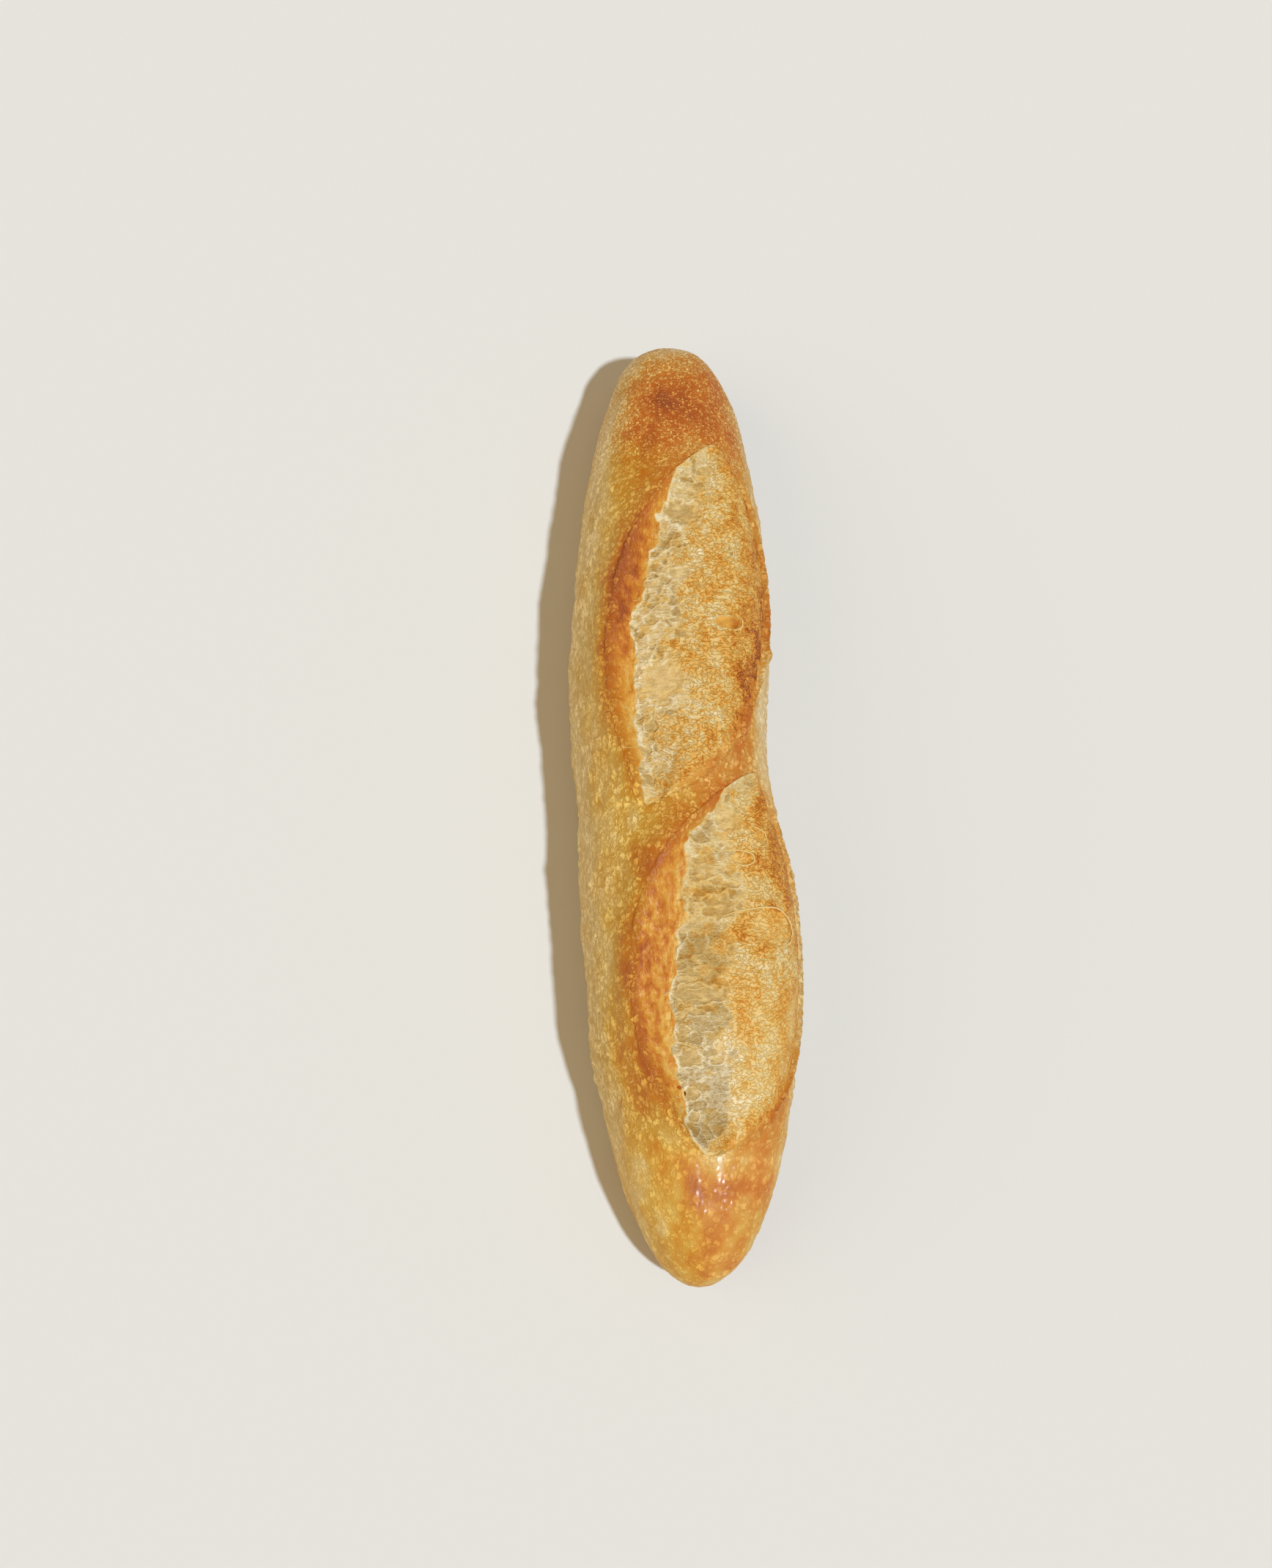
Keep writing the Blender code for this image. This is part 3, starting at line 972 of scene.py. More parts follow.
# Outside its edges a face rolls over the crest or the rim, dives under the skin and looks like it
def closeIntoSkin(face, at, name):
    look, own, flat = closingLook, tornFaces[name], at["flat"]
    station, strength, fromEar, toRim = at["station"], at["strength"], at["fromEar"], at["toRim"]
    size, amount, added, reach = look["ragged"]
    ragged = amount * np.clip(grains(flat, size, 2, 63.0) + added, 0.0, 1.0)
    outside = np.maximum(np.maximum(-fromEar, -toRim - reach * ragged), at["pastTip"])
    shown = np.clip(1.0 - outside / look["shownOver"], 0.0, 1.0)
    shown = shown * np.minimum(1.0, strength + look["leastShown"])
    mergedAt, mergedReach = own["merged"]
    merged = hump(station - mergedAt, mergedReach) * smoothStep(at["pastTear"] / look["mergedOver"])
    lift, lessMerged, inwards = look["lift"]
    lift = lift * strength * (1.0 - lessMerged * merged)
    drop, dropReach = look["sink"]
    sink = lift - (lift + drop) * smoothStep(outside / dropReach)
    sink = np.where(outside > 0.0, sink, lift * np.exp(outside / inwards))
    rimStep = (slashForm["grooveDepth"] + slashForm["lipHeight"]) * strength * (toRim > 0.0)
    rimReach = look["rimStepOver"]
    height = face["height"] * shown * np.maximum(strength, look["leastRelief"]) + sink
    face["height"] = height + merged * rimStep * smoothStep((rimReach - toRim) / rimReach)

    start, fullStart, fullEnd, end = own["earEnds"]
    hasEar = smoothStep(station, start, fullStart - start)
    hasEar = hasEar * smoothStep((end - station) / (end - fullEnd))
    onBand = 1.0 - face["isCrumb"]
    baked = onBand * np.clip(1.0 - hasEar * smoothStep(fromEar, *look["bandFrom"]), 0.0, 1.0)
    baked = np.maximum(baked, look["crustOnBand"] * onBand)
    baked = np.where((fromEar < 0.0) | (toRim < 0.0) | (at["pastTip"] > 0.0), 1.0, baked)
    size, amount = look["rough"]
    rough = amount * grains(flat, size, 2, 44.0)
    blending, addedMerged = look["blending"]
    blending = blending + addedMerged * merged
    fromSkin = smoothStep((blending + (1.0 + merged) * rough - toRim) / blending)
    baked = np.maximum(baked, fromSkin * strength)
    bake = face["bake"] * (1.0 - baked) + baked * skinBake(station, at["angle"])
    amount, reach = look["rimDark"]
    rimDark = amount * alongSlash(rimBake[name], station)
    face["bake"] = bake + rimDark * hump(toRim, reach) * (1.0 - baked)
    return shown, baked


# Height over the plain skin and the finish's layers at places of a torn face
def tornSurface(name, station, angle):
    look, own = tornLook, tornFaces[name]
    at = tornPlaces(name, station, angle)
    isCrumb = past(at["overTear"], look["crumbEdge"])
    isDome = past(at["overDome"], look["domeEdge"])
    inner, outer = isCrumb * (1.0 - isDome), isCrumb * isDome
    smoother = smoothStep(-station, *look["smoothFrom"])
    bandHeight, bandBake = bandFinish(at, alongSlash(crestBake[name], station), own["coarser"])
    crumbHeight, crumbBake, crumbHollowShade = crumbFinish(at["flat"], own)
    domeHeight, domeBake = domeFinish(at, 1.0 - look["smoother"] * smoother)
    amount, reach = look["bandStep"]
    step = amount * hump(np.minimum(at["overTear"], 0.0), reach) * at["strength"]
    face = {
        "height": (1.0 - isCrumb) * (bandHeight + step) + inner * crumbHeight + outer * domeHeight,
        "bake": (1.0 - isCrumb) * bandBake + inner * crumbBake + outer * domeBake,
        "hollow": inner * crumbHollowShade,
        "isCrumb": isCrumb,
        "crumb": inner,
        "dome": outer,
        "calm": look["smootherCalm"] * smoother * outer,
    }
    finishTear(face, at, own)
    for feature in tornFeatures[name]:
        if feature[0] in featureForms:
            addHollow(face, at, feature)
        else:
            addTone(face, at, feature, own["toneLimit"])
    shown, baked = closeIntoSkin(face, at, name)
    onBand, allOver = look["gloss"]
    layers = {
        "bake": np.clip(face["bake"], 0.0, 1.0),
        "crumb": np.clip(face["crumb"], 0.0, 1.0) * (1.0 - baked),
        "hollow": np.clip(face["hollow"], 0.0, 1.0) * shown * (1.0 - baked),
        "dome": np.clip(face["dome"], 0.0, 1.0) * (1.0 - baked),
        "calm": face["calm"],
        "baked": baked,
        "warm": skinWarmth(station, angle),
        "fine": skinFineness(station),
        "gloss": onBand * (1.0 - isCrumb) + allOver,
    }
    return slashProfile(slashes[name], station, angle) + face["height"], layers


# A grid whose border is drawn down to one hidden point
def tornBlank():
    mesh = bmesh.new()
    bmesh.ops.create_grid(
        mesh, x_segments=tornLook["columns"], y_segments=tornLook["rows"], size=1.0,
    )
    border = [edge for edge in mesh.edges if edge.is_boundary]
    skirt = bmesh.ops.extrude_edge_only(mesh, edges=border)["geom"]
    core = [part for part in skirt if isinstance(part, bmesh.types.BMVert)]
    for vertex in core:
        vertex.co.z = -1.0
    bmesh.ops.pointmerge(mesh, verts=core, merge_co=(0.0, 0.0, -1.0))
    bmesh.ops.recalc_face_normals(mesh, faces=mesh.faces)
    return mesh


def makeTornFace(name):
    look, slash = tornLook, slashes[name]
    mesh = tornBlank()
    places = meshPlaces(mesh)
    isCore = places[:, 2] < -0.5
    share = (places[:, 0] + 1.0) / 2.0
    along = (places[:, 1] + 1.0) / 2.0
    start, end = slash["nearTip"][0] - look["overTips"], slash["farTip"][0] + look["overTips"]
    station = start + (end - start) * along
    ear, tear, rim = slashEdges(slash, station)
    tear = np.maximum(tear, ear + look["leastWidth"])
    rim = np.maximum(rim, tear + look["leastWidth"])
    margin = look["margin"] / loafForm["arcPerDegree"]
    earAt, tearAt, rimAt = look["columnShares"]
    toTear = ear + (tear - ear) * (share - earAt) / (tearAt - earAt)
    toRim = tear + (rim - tear) * (share - tearAt) / (rimAt - tearAt)
    angle = np.where(share < earAt, ear - margin * (1.0 - share / earAt), toTear)
    angle = np.where(share >= tearAt, toRim, angle)
    angle = np.where(share >= rimAt, rim + margin * (share - rimAt) / (1.0 - rimAt), angle)

    height, layers = tornSurface(name, station, angle)
    height = np.where(isCore, -look["core"], height)
    return writeMesh("torn_" + name, mesh, skinPoints(station, angle, height), layers)


# Threads of dried dough: torn face, thickness in mm, places as (station, angle)
strands = [
    ("far", 0.30, [(80.6, -11.4), (78.4, -9.2)]),
    ("far", 0.26, [(79.6, -12.0), (77.6, -9.8)]),
    ("far", 0.34, [(68.2, 23.4), (67.8, 25.8), (66.4, 27.4), (64.4, 27.0)]),
    ("far", 0.30, [(38.0, 30.6), (37.0, 33.4), (35.0, 34.8), (32.6, 33.4), (31.4, 31.0)]),
    ("far", 0.28, [(27.2, 20.6), (26.6, 23.2), (24.8, 23.0), (24.4, 20.2), (25.8, 18.8),
                   (27.0, 19.8)]),
    ("far", 0.30, [(6.9, -18.6), (5.8, -16.0), (4.2, -13.2)]),
    ("far", 0.40, [(41.4, 25.0), (42.2, 29.6), (44.0, 31.2), (45.8, 29.4)]),
    ("near", 0.34, [(-14.6, 30.0), (-14.8, 35.0), (-16.0, 39.4), (-18.0, 40.6), (-19.8, 37.6),
                    (-20.2, 33.6)]),
    ("near", 0.42, [(-20.7, 7.0), (-21.9, 11.5), (-21.3, 17.0), (-21.5, 23.0), (-22.2, 28.0),
                    (-24.0, 29.6), (-25.4, 26.6), (-25.9, 22.0), (-25.0, 18.6)]),
    ("near", 0.45, [(-40.2, 8.0), (-38.8, 14.0), (-38.2, 19.2), (-37.6, 25.0), (-36.9, 32.0),
                    (-36.9, 40.0), (-38.2, 47.0), (-41.0, 52.4), (-44.0, 52.4), (-46.8, 46.5),
                    (-47.6, 40.0)]),
    ("near", 0.34, [(-46.4, 5.0), (-46.2, 8.0), (-47.4, 9.6), (-48.6, 8.0)]),
    ("near", 0.30, [(-73.5, -16.6), (-74.4, -12.0), (-74.9, -7.0), (-75.9, -2.4)]),
    ("near", 0.30, [(-59.4, -11.0), (-59.8, -6.0), (-58.8, -1.0)]),
    ("near", 0.26, [(-62.6, -10.4), (-62.0, -5.6), (-62.8, -1.0)]),
    ("near", 0.30, [(-97.6, -4.6), (-99.6, -2.6), (-101.4, -2.4)]),
]
strandLook = {
    "sides": 6,
    "steps": 30,
    "proud": 0.35,                    # share of its thickness by which a thread stands out
    "ends": 0.35,                     # thickness of its ends as a share
    "lookAhead": 0.02,
    "bake": 0.20,
}
hairLook = {
    "count": 46,
    "seed": 12,
    "fromTips": (8.0, 24.0),
    "fromTear": (-3.0, 9.0),
    "heading": 0.7,
    "bending": 1.6,
    "steps": 4,
    "length": (1.2, 3.6),
    "thickness": (0.12, 0.22),
}


# Short curled hairs scattered along the tears
def scatteredHairs():
    look, arc = hairLook, loafForm["arcPerDegree"]
    steps, (nearGap, farGap) = look["steps"], look["fromTips"]
    chance = np.random.default_rng(look["seed"])
    hairs = []
    for name, slash in slashes.items():
        start, end = slash["nearTip"][0] + nearGap, slash["farTip"][0] - farGap
        for station in chance.uniform(start, end, look["count"]):
            angle = float(slashEdges(slash, station)[1]) + chance.uniform(*look["fromTear"]) / arc
            heading = chance.uniform(-look["heading"], look["heading"])
            bending = chance.uniform(-look["bending"], look["bending"])
            step = chance.uniform(*look["length"]) / steps
            places = [(station, angle)]
            for turn in range(steps):
                heading += bending / steps
                station = station + step * math.sin(heading)
                angle = angle + step * math.cos(heading) / arc
                places.append((station, angle))
            hairs.append((name, chance.uniform(*look["thickness"]), places))
    return hairs


# Cuts the corners of a line of places until it is round
def roundedLine(places):
    line = np.array(places)
    for turn in range(3):
        first, second = 0.75 * line[:-1] + 0.25 * line[1:], 0.25 * line[:-1] + 0.75 * line[1:]
        corners = np.stack([first, second], axis=1).reshape(-1, 2)
        line = np.concatenate([line[:1], corners, line[-1:]])
    return line


# Stations and angles at shares of a line's length
def alongLine(line, share):
    reach = np.linspace(0.0, 1.0, len(line))
    return np.interp(share, reach, line[:, 0]), np.interp(share, reach, line[:, 1])


def unit(vectors):
    return vectors / np.linalg.norm(vectors, axis=1)[:, None]


# A closed tube of radius 1 and length 1, cut into steps
def addTube(mesh):
    tube = set(bmesh.ops.create_cone(
        mesh, cap_ends=True, segments=strandLook["sides"], radius1=1.0, radius2=1.0, depth=1.0,
    )["verts"])
    sides = [edge for edge in mesh.edges
             if edge.verts[0] in tube and abs(edge.verts[0].co.z - edge.verts[1].co.z) > 0.5]
    bmesh.ops.subdivide_edges(mesh, edges=sides, cuts=strandLook["steps"])
    mesh.verts.ensure_lookup_table()


def makeStrands():
    look = strandLook
    mesh = bmesh.new()
    points = np.zeros((0, 3))
    for name, thickness, places in strands + scatteredHairs():
        addTube(mesh)
        blank = meshPlaces(mesh)[len(points):]
        line = roundedLine(places)
        share = blank[:, 2] + 0.5
        station, angle = alongLine(line, share)
        height = tornSurface(name, station, angle)[0] + look["proud"] * thickness
        centre = skinPoints(station, angle, height)
        after = skinPoints(*alongLine(line, share + look["lookAhead"]), height)
        before = skinPoints(*alongLine(line, share - look["lookAhead"]), height)
        ahead = unit(after - before)
        outwards = unit(skinPoints(station, angle, height + 1.0) - centre)
        across = np.cross(ahead, outwards)
        middling = 1.0 - np.abs(2.0 * share - 1.0) ** 4
        radius = thickness / 2.0 * (look["ends"] + (1.0 - look["ends"]) * middling)
        tube = centre + (blank[:, :1] * across + blank[:, 1:2] * outwards) * radius[:, None]
        points = np.concatenate([points, tube])
    bmesh.ops.recalc_face_normals(mesh, faces=mesh.faces)
    nothing = 0.0 * points[:, 0]
    layers = {"bake": look["bake"] + nothing, "crumb": 1.0 + nothing, "calm": 1.0 + nothing}
    for name in ("hollow", "dome", "baked", "warm", "fine", "gloss"):
        layers[name] = nothing
    return writeMesh("strands", mesh, points, layers)


# A colour given in screen values from 0 to 255
def paint(red, green, blue):
    return [((value / 255.0 + 0.055) / 1.055) ** 2.4 for value in (red, green, blue)] + [1.0]


def nodesOf(material):
    material.use_nodes = True
    return material.node_tree, material.node_tree.nodes["Principled BSDF"]


def addNode(tree, kind, **settings):
    node = tree.nodes.new(kind)
    for key, value in settings.items():
        setattr(node, key, value)
    return node


def setInputs(node, values):
    for name, value in values.items():
        node.inputs[name].default_value = value
    return node


def feed(tree, socket, value):
    if isinstance(value, bpy.types.NodeSocket):
        tree.links.new(value, socket)
    else:
        socket.default_value = value


def compute(tree, operation, *values, clamp=False):
    node = addNode(tree, "ShaderNodeMath", operation=operation, use_clamp=clamp)
    for socket, value in zip(node.inputs, values):
        feed(tree, socket, value)
    return node.outputs[0]


def blend(tree, factor, first, second, kind="MIX"):
    node = addNode(tree, "ShaderNodeMix", data_type="RGBA", blend_type=kind)
    for name, value in (("Factor", factor), ("A", first), ("B", second)):
        sockets = [socket for socket in node.inputs if socket.name == name and socket.enabled]
        feed(tree, sockets[0], value)
    return [socket for socket in node.outputs if socket.enabled][0]


def ramp(tree, factor, stops):
    node = addNode(tree, "ShaderNodeValToRGB")
    elements = node.color_ramp.elements
    while len(elements) < len(stops):
        elements.new(0.5)
    for element, (place, colour) in zip(elements, stops):
        element.position = place
        element.color = paint(*colour)
    tree.links.new(factor, node.inputs["Fac"])
    return node.outputs["Color"]


def layer(tree, name):
    return addNode(tree, "ShaderNodeAttribute", attribute_name=name).outputs["Fac"]


def newGroup(name, inputs, outputs):
    group = bpy.data.node_groups.new(name, "ShaderNodeTree")
    for socketName, value in inputs.items():
        socket = group.interface.new_socket(
            socketName, in_out="INPUT", socket_type="NodeSocketFloat",
        )
        socket.default_value = value
    for socketName in outputs:
        kind = "NodeSocketColor" if socketName == "Colour" else "NodeSocketFloat"
        group.interface.new_socket(socketName, in_out="OUTPUT", socket_type=kind)
    return group, addNode(group, "NodeGroupInput").outputs, addNode(group, "NodeGroupOutput").inputs


# Object coordinates counted in grains of the given sizes in mm, across and along the loaf
def grainCoordinates(group, across, along):
    place = addNode(group, "ShaderNodeTexCoord").outputs["Object"]
    counts = addNode(group, "ShaderNodeCombineXYZ")
    for socket, size in zip(counts.inputs, (across, along, across)):
        feed(group, socket, compute(group, "DIVIDE", 1000.0, size))
    scaled = addNode(group, "ShaderNodeVectorMath", operation="MULTIPLY")
    feed(group, scaled.inputs[0], place)
    feed(group, scaled.inputs[1], counts.outputs[0])
    return scaled.outputs[0]


def noiseNode(group, coordinates, scale, detail):
    node = setInputs(addNode(group, "ShaderNodeTexNoise"), {"Scale": scale, "Detail": detail})
    feed(group, node.inputs["Vector"], coordinates)
    return node


# Noise in grains of the sizes that the group is given
def givenNoise(group, given, detail):
    return noiseNode(group, grainCoordinates(group, given["Across"], given["Along"]), 1.0, detail)


# Rounded cells: from 0 on the walls between them to 1 inside, and a number from 0 to 1 for each
def cellGroup():
    group, given, out = newGroup("roundedCells", {"Across": 1.6, "Along": 1.6}, ("Inside", "Pick"))
    coordinates = grainCoordinates(group, given["Across"], given["Along"])
    wobble = noiseNode(group, coordinates, 1.4, 3.0)
    bent = addNode(group, "ShaderNodeVectorMath", operation="MULTIPLY_ADD")
    bent.inputs[1].default_value = (1.0, 1.0, 1.0)
    feed(group, bent.inputs[0], wobble.outputs["Color"])
    feed(group, bent.inputs[2], coordinates)
    walls = addNode(group, "ShaderNodeTexVoronoi", feature="DISTANCE_TO_EDGE")
    middles = addNode(group, "ShaderNodeTexVoronoi", feature="SMOOTH_F1")
    setInputs(middles, {"Smoothness": 0.25})
    for node in (walls, middles):
        feed(group, setInputs(node, {"Scale": 1.0}).inputs["Vector"], bent.outputs[0])
    rounded = addNode(group, "ShaderNodeMapRange", interpolation_type="SMOOTHSTEP")
    setInputs(rounded, {"From Max": 0.26})
    feed(group, rounded.inputs["Value"], walls.outputs["Distance"])
    pick = addNode(group, "ShaderNodeSeparateColor")
    feed(group, pick.inputs[0], middles.outputs["Color"])
    feed(group, out["Inside"], rounded.outputs["Result"])
    feed(group, out["Pick"], pick.outputs[0])
    return group


# Soft blobs that touch, from 0 between them to 1
def blobGroup():
    group, given, out = newGroup("softBlobs", {"Across": 1.6, "Along": 1.6}, ("Blob",))
    blobs = setInputs(givenNoise(group, given, 3.0), {"Roughness": 0.62}).outputs["Fac"]
    feed(group, out["Blob"], compute(group, "MULTIPLY_ADD", blobs, 3.2, -1.1, clamp=True))
    return group


# Thin curling lines, 1 on a line
def squiggleGroup():
    group, given, out = newGroup("squiggles", {"Across": 1.2, "Along": 1.0}, ("Line",))
    bending = givenNoise(group, given, 2.0).outputs["Fac"]
    off = compute(group, "ABSOLUTE", compute(group, "SUBTRACT", bending, 0.5))
    line = compute(group, "SUBTRACT", 1.0, compute(group, "MULTIPLY", off, 16.0), clamp=True)
    feed(group, out["Line"], line)
    return group


# Fine grain or fibres, pulled out where the two sizes differ
def grainGroup():
    group, given, out = newGroup("grain", {"Across": 0.6, "Along": 0.6}, ("Grain",))
    speckle = givenNoise(group, given, 3.0).outputs["Fac"]
    feed(group, out["Grain"], compute(group, "SUBTRACT", speckle, 0.5))
    return group


def useGroup(tree, group, sizes=()):
    node = addNode(tree, "ShaderNodeGroup", node_tree=group)
    return setInputs(node, dict(zip(("Across", "Along"), sizes)))


def addBump(tree, shader, height, strength, distance):
    bump = setInputs(addNode(tree, "ShaderNodeBump"), {"Strength": strength, "Distance": distance})
    feed(tree, bump.inputs["Height"], height)
    feed(tree, shader.inputs["Normal"], bump.outputs["Normal"])


# The net is the browner skin between the spots, and the spots are the blisters
crustFinish = {
    "netYellow": [(0.0, (206, 178, 118)), (0.2, (200, 167, 92)), (0.4, (192, 143, 42)),
                  (0.6, (186, 114, 16)), (0.8, (164, 83, 20)), (1.0, (124, 58, 34))],
    "netOrange": [(0.0, (210, 177, 124)), (0.2, (204, 163, 94)), (0.4, (198, 133, 44)),
                  (0.6, (190, 104, 26)), (0.8, (170, 84, 24)), (1.0, (130, 62, 36))],
    "spotYellow": [(0.0, (240, 219, 168)), (0.2, (238, 211, 146)), (0.4, (238, 202, 108)),
                   (0.6, (232, 180, 74)), (0.8, (214, 142, 56)), (1.0, (174, 98, 46))],
    "spotOrange": [(0.0, (244, 223, 176)), (0.2, (240, 209, 148)), (0.4, (238, 190, 106)),
                   (0.6, (230, 164, 78)), (0.8, (218, 141, 64)), (1.0, (180, 103, 46))],
    "round": (1.9, 2.1),           # size of the blisters across and along, in mm
    "streaky": (1.5, 2.6),
    "fine": (0.95, 1.05),
    "blobSize": 1.2,               # the blobs' size as a share of the blisters'
    "cellShare": 0.5,
    "cellPick": (0.8, 0.2),        # how far the cells differ, and how clear the faintest is
    "grain": (0.55, 0.65),
    "grainShare": 1.0,
    "grainInBake": 0.30,
    "grainInHeight": 0.5,
    "fewer": (-0.25, 0.12),        # how the pale spots shrink on browner skin
    "spotEdge": (0.16, 0.84),
    "fineContrast": 0.22,
}


def between(tree, share, first, second):
    return compute(tree, "MULTIPLY_ADD", compute(tree, "SUBTRACT", second, first), share, first)


# Colour of baked crust for how brown, orange, streaky and finely speckled it is
def crustGroup(cellular, grainy):
    look = crustFinish
    inputs = {"Bake": 0.5, "Warm": 0.5, "Streaky": 0.0, "Fine": 0.0, "Calm": 0.0}
    group, given, out = newGroup("crustColour", inputs, ("Colour", "Height"))
    blobby = blobGroup()
    grain = useGroup(group, grainy, look["grain"]).outputs[0]
    spots = []
    for name in ("round", "streaky", "fine"):
        cell = useGroup(group, cellular, look[name]).outputs
        pick = compute(group, "MULTIPLY_ADD", cell["Pick"], *look["cellPick"])
        cell = compute(group, "MULTIPLY", cell["Inside"], pick)
        blob = useGroup(group, blobby, [look["blobSize"] * size for size in look[name]]).outputs[0]
        spots.append(between(group, look["cellShare"], blob, cell))
    coarse = between(group, given["Streaky"], spots[0], spots[1])
    spot = between(group, given["Fine"], coarse, spots[2])
    spot = compute(group, "MULTIPLY_ADD", grain, look["grainShare"], spot)
    fewer = compute(group, "MULTIPLY_ADD", given["Bake"], *look["fewer"])
    spot = compute(group, "ADD", fewer, spot)
    edge = addNode(group, "ShaderNodeMapRange", interpolation_type="SMOOTHSTEP")
    setInputs(edge, dict(zip(("From Min", "From Max"), look["spotEdge"])))
    feed(group, edge.inputs["Value"], spot)
    calming = compute(group, "MULTIPLY_ADD", given["Calm"], -1.0, 1.0)
    offMiddle = compute(group, "SUBTRACT", edge.outputs["Result"], 0.5)
    spot = compute(group, "MULTIPLY_ADD", offMiddle, calming, 0.5)
    darker = compute(group, "MULTIPLY", compute(group, "SUBTRACT", 0.5, spot), given["Fine"])
    level = compute(group, "MULTIPLY_ADD", darker, look["fineContrast"], given["Bake"])
    level = compute(group, "MULTIPLY_ADD", grain, look["grainInBake"], level, clamp=True)
    colours = []
    for kind in ("net", "spot"):
        yellow, orange = (ramp(group, level, look[kind + tint]) for tint in ("Yellow", "Orange"))
        colours.append(blend(group, given["Warm"], yellow, orange))
    feed(group, out["Colour"], blend(group, spot, *colours))
    feed(group, out["Height"], compute(group, "MULTIPLY_ADD", grain, look["grainInHeight"], spot))
    return group


# The crust's colour, with the layers of the piece fed to the inputs of the same name
def bakedCrust(tree, crust, names):
    node = useGroup(tree, crust)
    for name in names:
        feed(tree, node.inputs[name], layer(tree, name.lower()))
    return node


skinFinish = {
    "flour": (232, 214, 178),
    "flourGrain": (0.8, 0.8),
    "flourCover": (1.5, 0.35),     # its contrast, and how thickly it lies
    "roughness": (0.50, 0.64),
    "bump": (0.7, 0.00040),
    "constants": {"Specular IOR Level": 0.28, "Coat Roughness": 0.26},
}


def skinMaterial(crust, grainy):
    material = bpy.data.materials.new("bakedSkin")
    tree, shader = nodesOf(material)
    look = skinFinish
    baked = bakedCrust(tree, crust, ("Bake", "Warm", "Streaky", "Fine", "Calm"))
    dusty = useGroup(tree, grainy, look["flourGrain"]).outputs[0]
    dusty = compute(tree, "MULTIPLY_ADD", dusty, *look["flourCover"], clamp=True)
    dusty = compute(tree, "MULTIPLY", layer(tree, "flour"), dusty)
    colour = blend(tree, dusty, baked.outputs["Colour"], paint(*look["flour"]))
    feed(tree, shader.inputs["Base Color"], colour)
    low, high = look["roughness"]
    roughness = compute(tree, "MULTIPLY_ADD", layer(tree, "bake"), low - high, high)
    feed(tree, shader.inputs["Roughness"], roughness)
    feed(tree, shader.inputs["Coat Weight"], layer(tree, "gloss"))
    setInputs(shader, look["constants"])
    addBump(tree, shader, baked.outputs["Height"], *look["bump"])
    return material


# Fibres, walls and squiggles are given by size in mm across and along, then by their change of bake
tornFinish = {
    "colours": [(0.0, (246, 232, 196)), (0.12, (230, 204, 146)), (0.25, (230, 194, 118)),
                (0.40, (226, 172, 80)), (0.55, (218, 150, 54)), (0.70, (200, 118, 32)),
                (0.85, (166, 80, 22)), (1.0, (70, 32, 16))],
    # painted shade: the colour it multiplies in, and its contrast from the crumb's walls and fibres
    "hollow": (0.60, 0.54, 0.44, 1.0),
    "hollowShadeContrast": 2.5,
    "walls": (1.9, 0.85),
    "fineWalls": (0.9, 0.42),
    "wallPaling": (0.08, 0.06),
    "fibresAcross": (1.8, 0.28),
    "acrossChange": 0.16,
    "squiggles": (1.3, 1.0),
    "squiggleChange": (0.20, -0.08),
    "fibresAlong": (0.45, 1.6),
    "alongChange": 0.32,
    "grain": (0.33, 0.33),
    "grainChange": 0.18,
    "roughness": (0.50, 0.75),
    "bump": (0.8, 0.0018),
    "crustBump": 0.22,             # the baked parts' relief as a share
    "constants": {"Specular IOR Level": 0.28, "Coat Roughness": 0.25, "Subsurface Weight": 0.2,
                  "Subsurface Radius": (1.0, 0.55, 0.25), "Subsurface Scale": 0.0012},
}


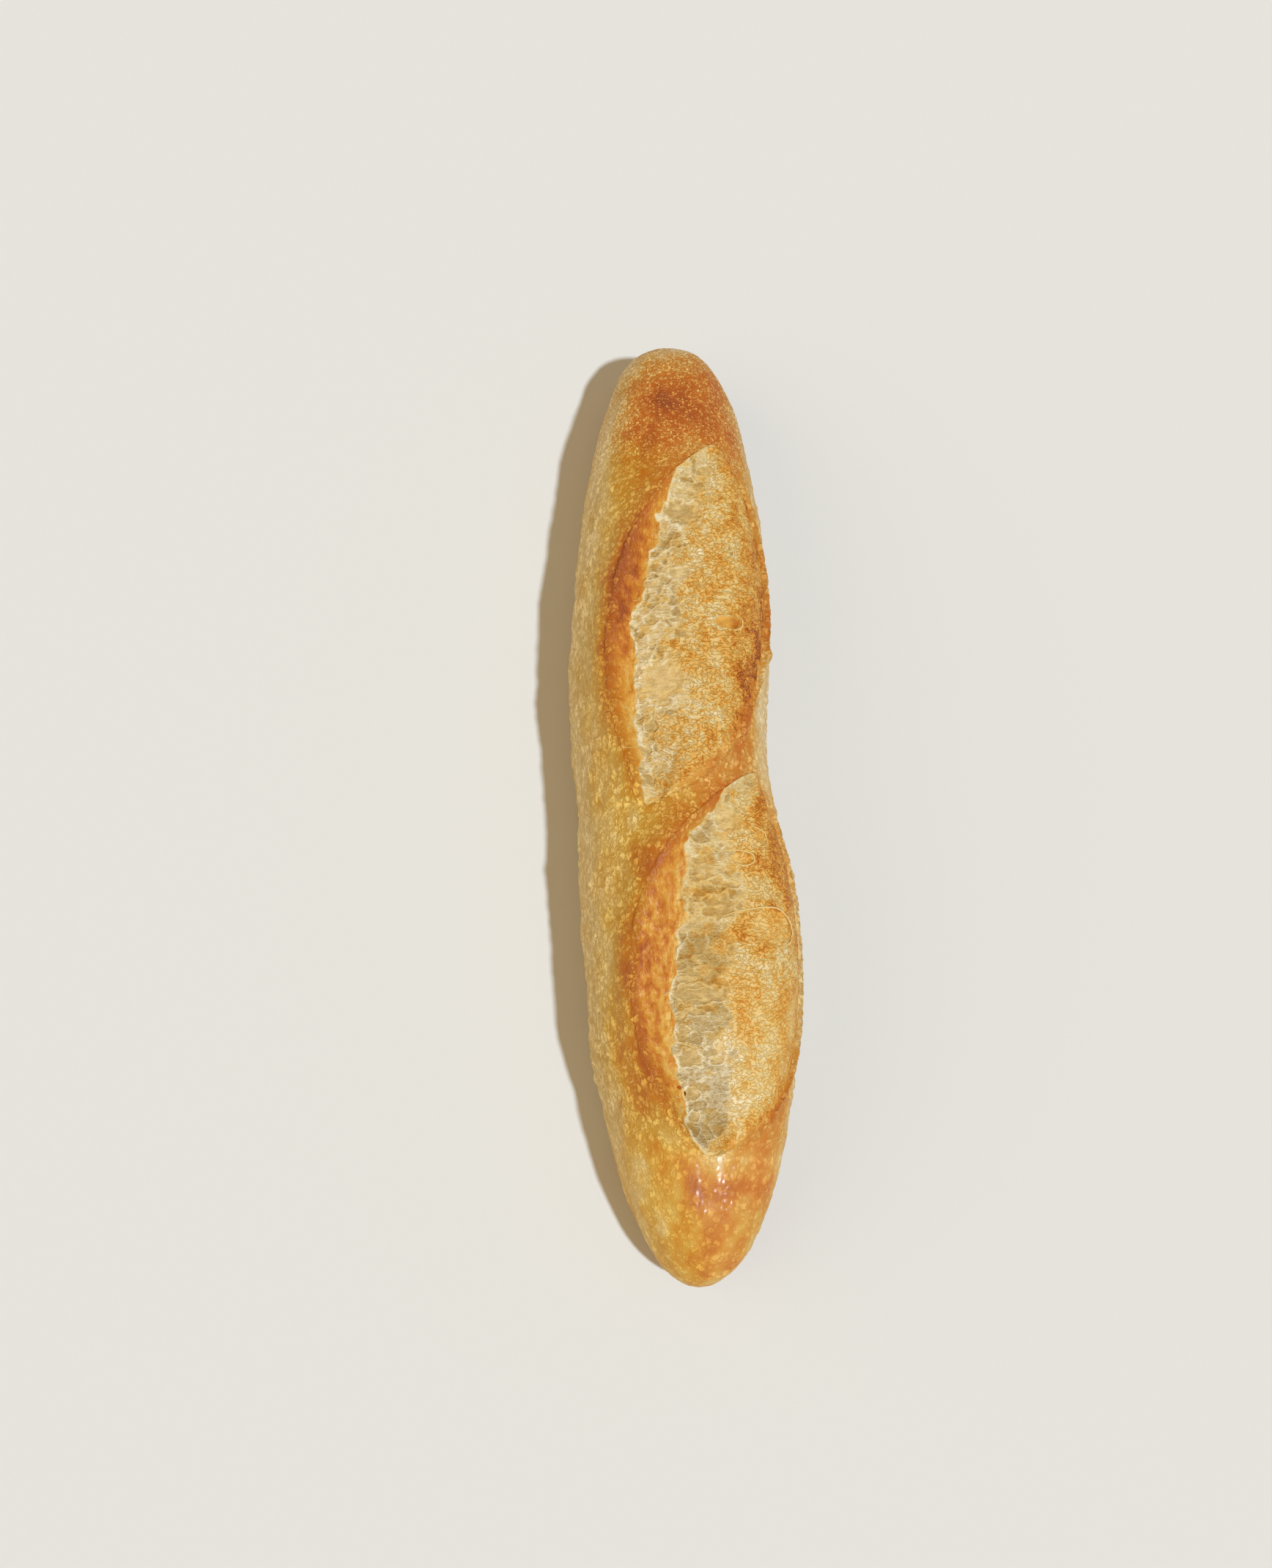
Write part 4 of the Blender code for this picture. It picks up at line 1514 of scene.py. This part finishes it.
def tornMaterial(crust, cellular, grainy):
    material = bpy.data.materials.new("tornCrumb")
    tree, shader = nodesOf(material)
    look = tornFinish
    across, along, fine = (
        useGroup(tree, grainy, look[name]).outputs[0]
        for name in ("fibresAcross", "fibresAlong", "grain")
    )
    walls, fineWalls = (
        useGroup(tree, cellular, look[name]).outputs["Inside"] for name in ("walls", "fineWalls")
    )
    line = useGroup(tree, squiggleGroup(), look["squiggles"]).outputs[0]
    crumb, dome, bake, bakedShare = (
        layer(tree, name) for name in ("crumb", "dome", "bake", "baked")
    )

    # finest change of bake in the crumb, on the dome and on the ear's inner side
    wall, fineWall = look["wallPaling"]
    inCrumb = compute(tree, "MULTIPLY_ADD", walls, wall, -wall - fineWall)
    inCrumb = compute(tree, "MULTIPLY_ADD", fineWalls, fineWall, inCrumb)
    inCrumb = compute(tree, "MULTIPLY_ADD", across, look["acrossChange"], inCrumb)
    inDome = compute(tree, "MULTIPLY_ADD", line, *look["squiggleChange"])
    inBand = compute(tree, "MULTIPLY", along, look["alongChange"])
    onBand = compute(tree, "SUBTRACT", compute(tree, "SUBTRACT", 1.0, crumb), dome)
    change = compute(tree, "MULTIPLY", fine, look["grainChange"])
    for share, part in ((crumb, inCrumb), (dome, inDome), (onBand, inBand)):
        change = compute(tree, "MULTIPLY_ADD", share, part, change)
    change = compute(tree, "MULTIPLY", change, compute(tree, "SUBTRACT", 1.0, layer(tree, "calm")))

    colour = ramp(tree, compute(tree, "ADD", change, bake, clamp=True), look["colours"])
    # painted shade in the crumb's hollows and in the dip beside the tear
    hollow = layer(tree, "hollow")
    shade = compute(tree, "MULTIPLY_ADD", inCrumb, look["hollowShadeContrast"], hollow, clamp=True)
    colour = blend(tree, shade, colour, look["hollow"], "MULTIPLY")
    baked = bakedCrust(tree, crust, ("Bake", "Warm", "Fine"))
    colour = blend(tree, bakedShare, colour, baked.outputs["Colour"])
    feed(tree, shader.inputs["Base Color"], colour)
    low, high = look["roughness"]
    feed(tree, shader.inputs["Roughness"], compute(tree, "MULTIPLY_ADD", crumb, high - low, low))
    feed(tree, shader.inputs["Coat Weight"], layer(tree, "gloss"))
    setInputs(shader, look["constants"])
    onCrust = compute(tree, "MULTIPLY", baked.outputs["Height"], look["crustBump"])
    relief = between(tree, bakedShare, compute(tree, "MULTIPLY", change, -1.0), onCrust)
    addBump(tree, shader, relief, *look["bump"])
    return material


viewSettings = {
    "imageSize": (1736, 2140),
    "focal": 2800.0,              # in pixels of the photograph
    "sensor": 36.0,
    "nearest": 0.01,
    "tilt": 14.0,                 # from straight above towards -Y
    "side": 8.0,                  # and towards -X
    "roll": 0.19,
    "aim": (0.0, 0.0, 20.0),      # a point of the loaf, in mm, and the pixel that shows it
    "aimPixel": (935.0, 1083.3),
    "pixelsPerMm": 4.758,
}


def makeCamera():
    look = viewSettings
    width, height = look["imageSize"]
    side, tilt, roll = (math.radians(look[turn]) for turn in ("side", "tilt", "roll"))
    back = np.array([-math.tan(side), -math.tan(tilt), 1.0])
    back /= np.linalg.norm(back)
    up = np.array([0.0, 1.0, 0.0])
    up -= up.dot(back) * back
    up /= np.linalg.norm(up)
    right = np.cross(up, back)
    right, up = (right * math.cos(roll) - up * math.sin(roll),
                 up * math.cos(roll) + right * math.sin(roll))
    distance = look["focal"] / look["pixelsPerMm"]
    offX = (look["aimPixel"][0] - width / 2) / look["focal"] * distance
    offY = (height / 2 - look["aimPixel"][1]) / look["focal"] * distance
    place = np.array(look["aim"]) + back * distance - right * offX - up * offY
    camera = bpy.data.cameras.new("camera")
    camera.sensor_width = look["sensor"]
    camera.lens = look["focal"] * camera.sensor_width / height
    camera.clip_start = look["nearest"]
    holder = addObject("camera", camera)
    turned = Matrix((right, up, back)).transposed().to_4x4()
    holder.matrix_world = Matrix.Translation(inMetres(place)) @ turned
    bpy.context.scene.camera = holder


# Each light: the way towards it, strength, colour, softness in degrees
lightSettings = {
    "key": ((0.33, -0.33, 1.0), 2.78, (0.80, 0.91, 1.025), 3.5),
    "leftFill": ((-0.90, -0.1, 0.45), 0.80, (1.0, 0.83, 0.56), 70.0),
}
worldSettings = {"Color": (1.0, 0.74, 0.46, 1.0), "Strength": 0.365}


def makeLights():
    for name, (towards, strength, colour, softness) in lightSettings.items():
        lamp = bpy.data.lights.new(name, "SUN")
        lamp.energy, lamp.color, lamp.angle = strength, colour, math.radians(softness)
        turned = Vector(towards).to_track_quat("Z", "Y").to_euler()
        addObject(name, lamp).rotation_euler = turned
    world = bpy.data.worlds.new("studio")
    world.use_nodes = True
    setInputs(world.node_tree.nodes["Background"], worldSettings)
    bpy.context.scene.world = world


floorLook = {
    "halfWidth": 3.0,
    "finish": {"Base Color": (0.705, 0.705, 0.678, 1.0), "Roughness": 0.9,
               "Specular IOR Level": 0.1},
}


def makeFloor():
    mesh = bmesh.new()
    bmesh.ops.create_grid(mesh, x_segments=1, y_segments=1, size=floorLook["halfWidth"])
    data = bpy.data.meshes.new("floor")
    mesh.to_mesh(data)
    mesh.free()
    floor = addObject("floor", data)
    material = bpy.data.materials.new("paleFloor")
    setInputs(nodesOf(material)[1], floorLook["finish"])
    data.materials.append(material)


def buildScene():
    makeCamera()
    makeLights()
    makeFloor()
    print("camera, lights and floor ready")
    grainy = grainGroup()
    cellular = cellGroup()
    crust = crustGroup(cellular, grainy)
    dress(makeSkin(), skinMaterial(crust, grainy))
    print("skin ready")
    torn = tornMaterial(crust, cellular, grainy)
    for name in slashes:
        dress(makeTornFace(name), torn)
        print("torn face ready:", name)
    dress(makeStrands(), torn)
    print("strands ready")
    bpy.context.scene.view_settings.view_transform = "Standard"


buildScene()
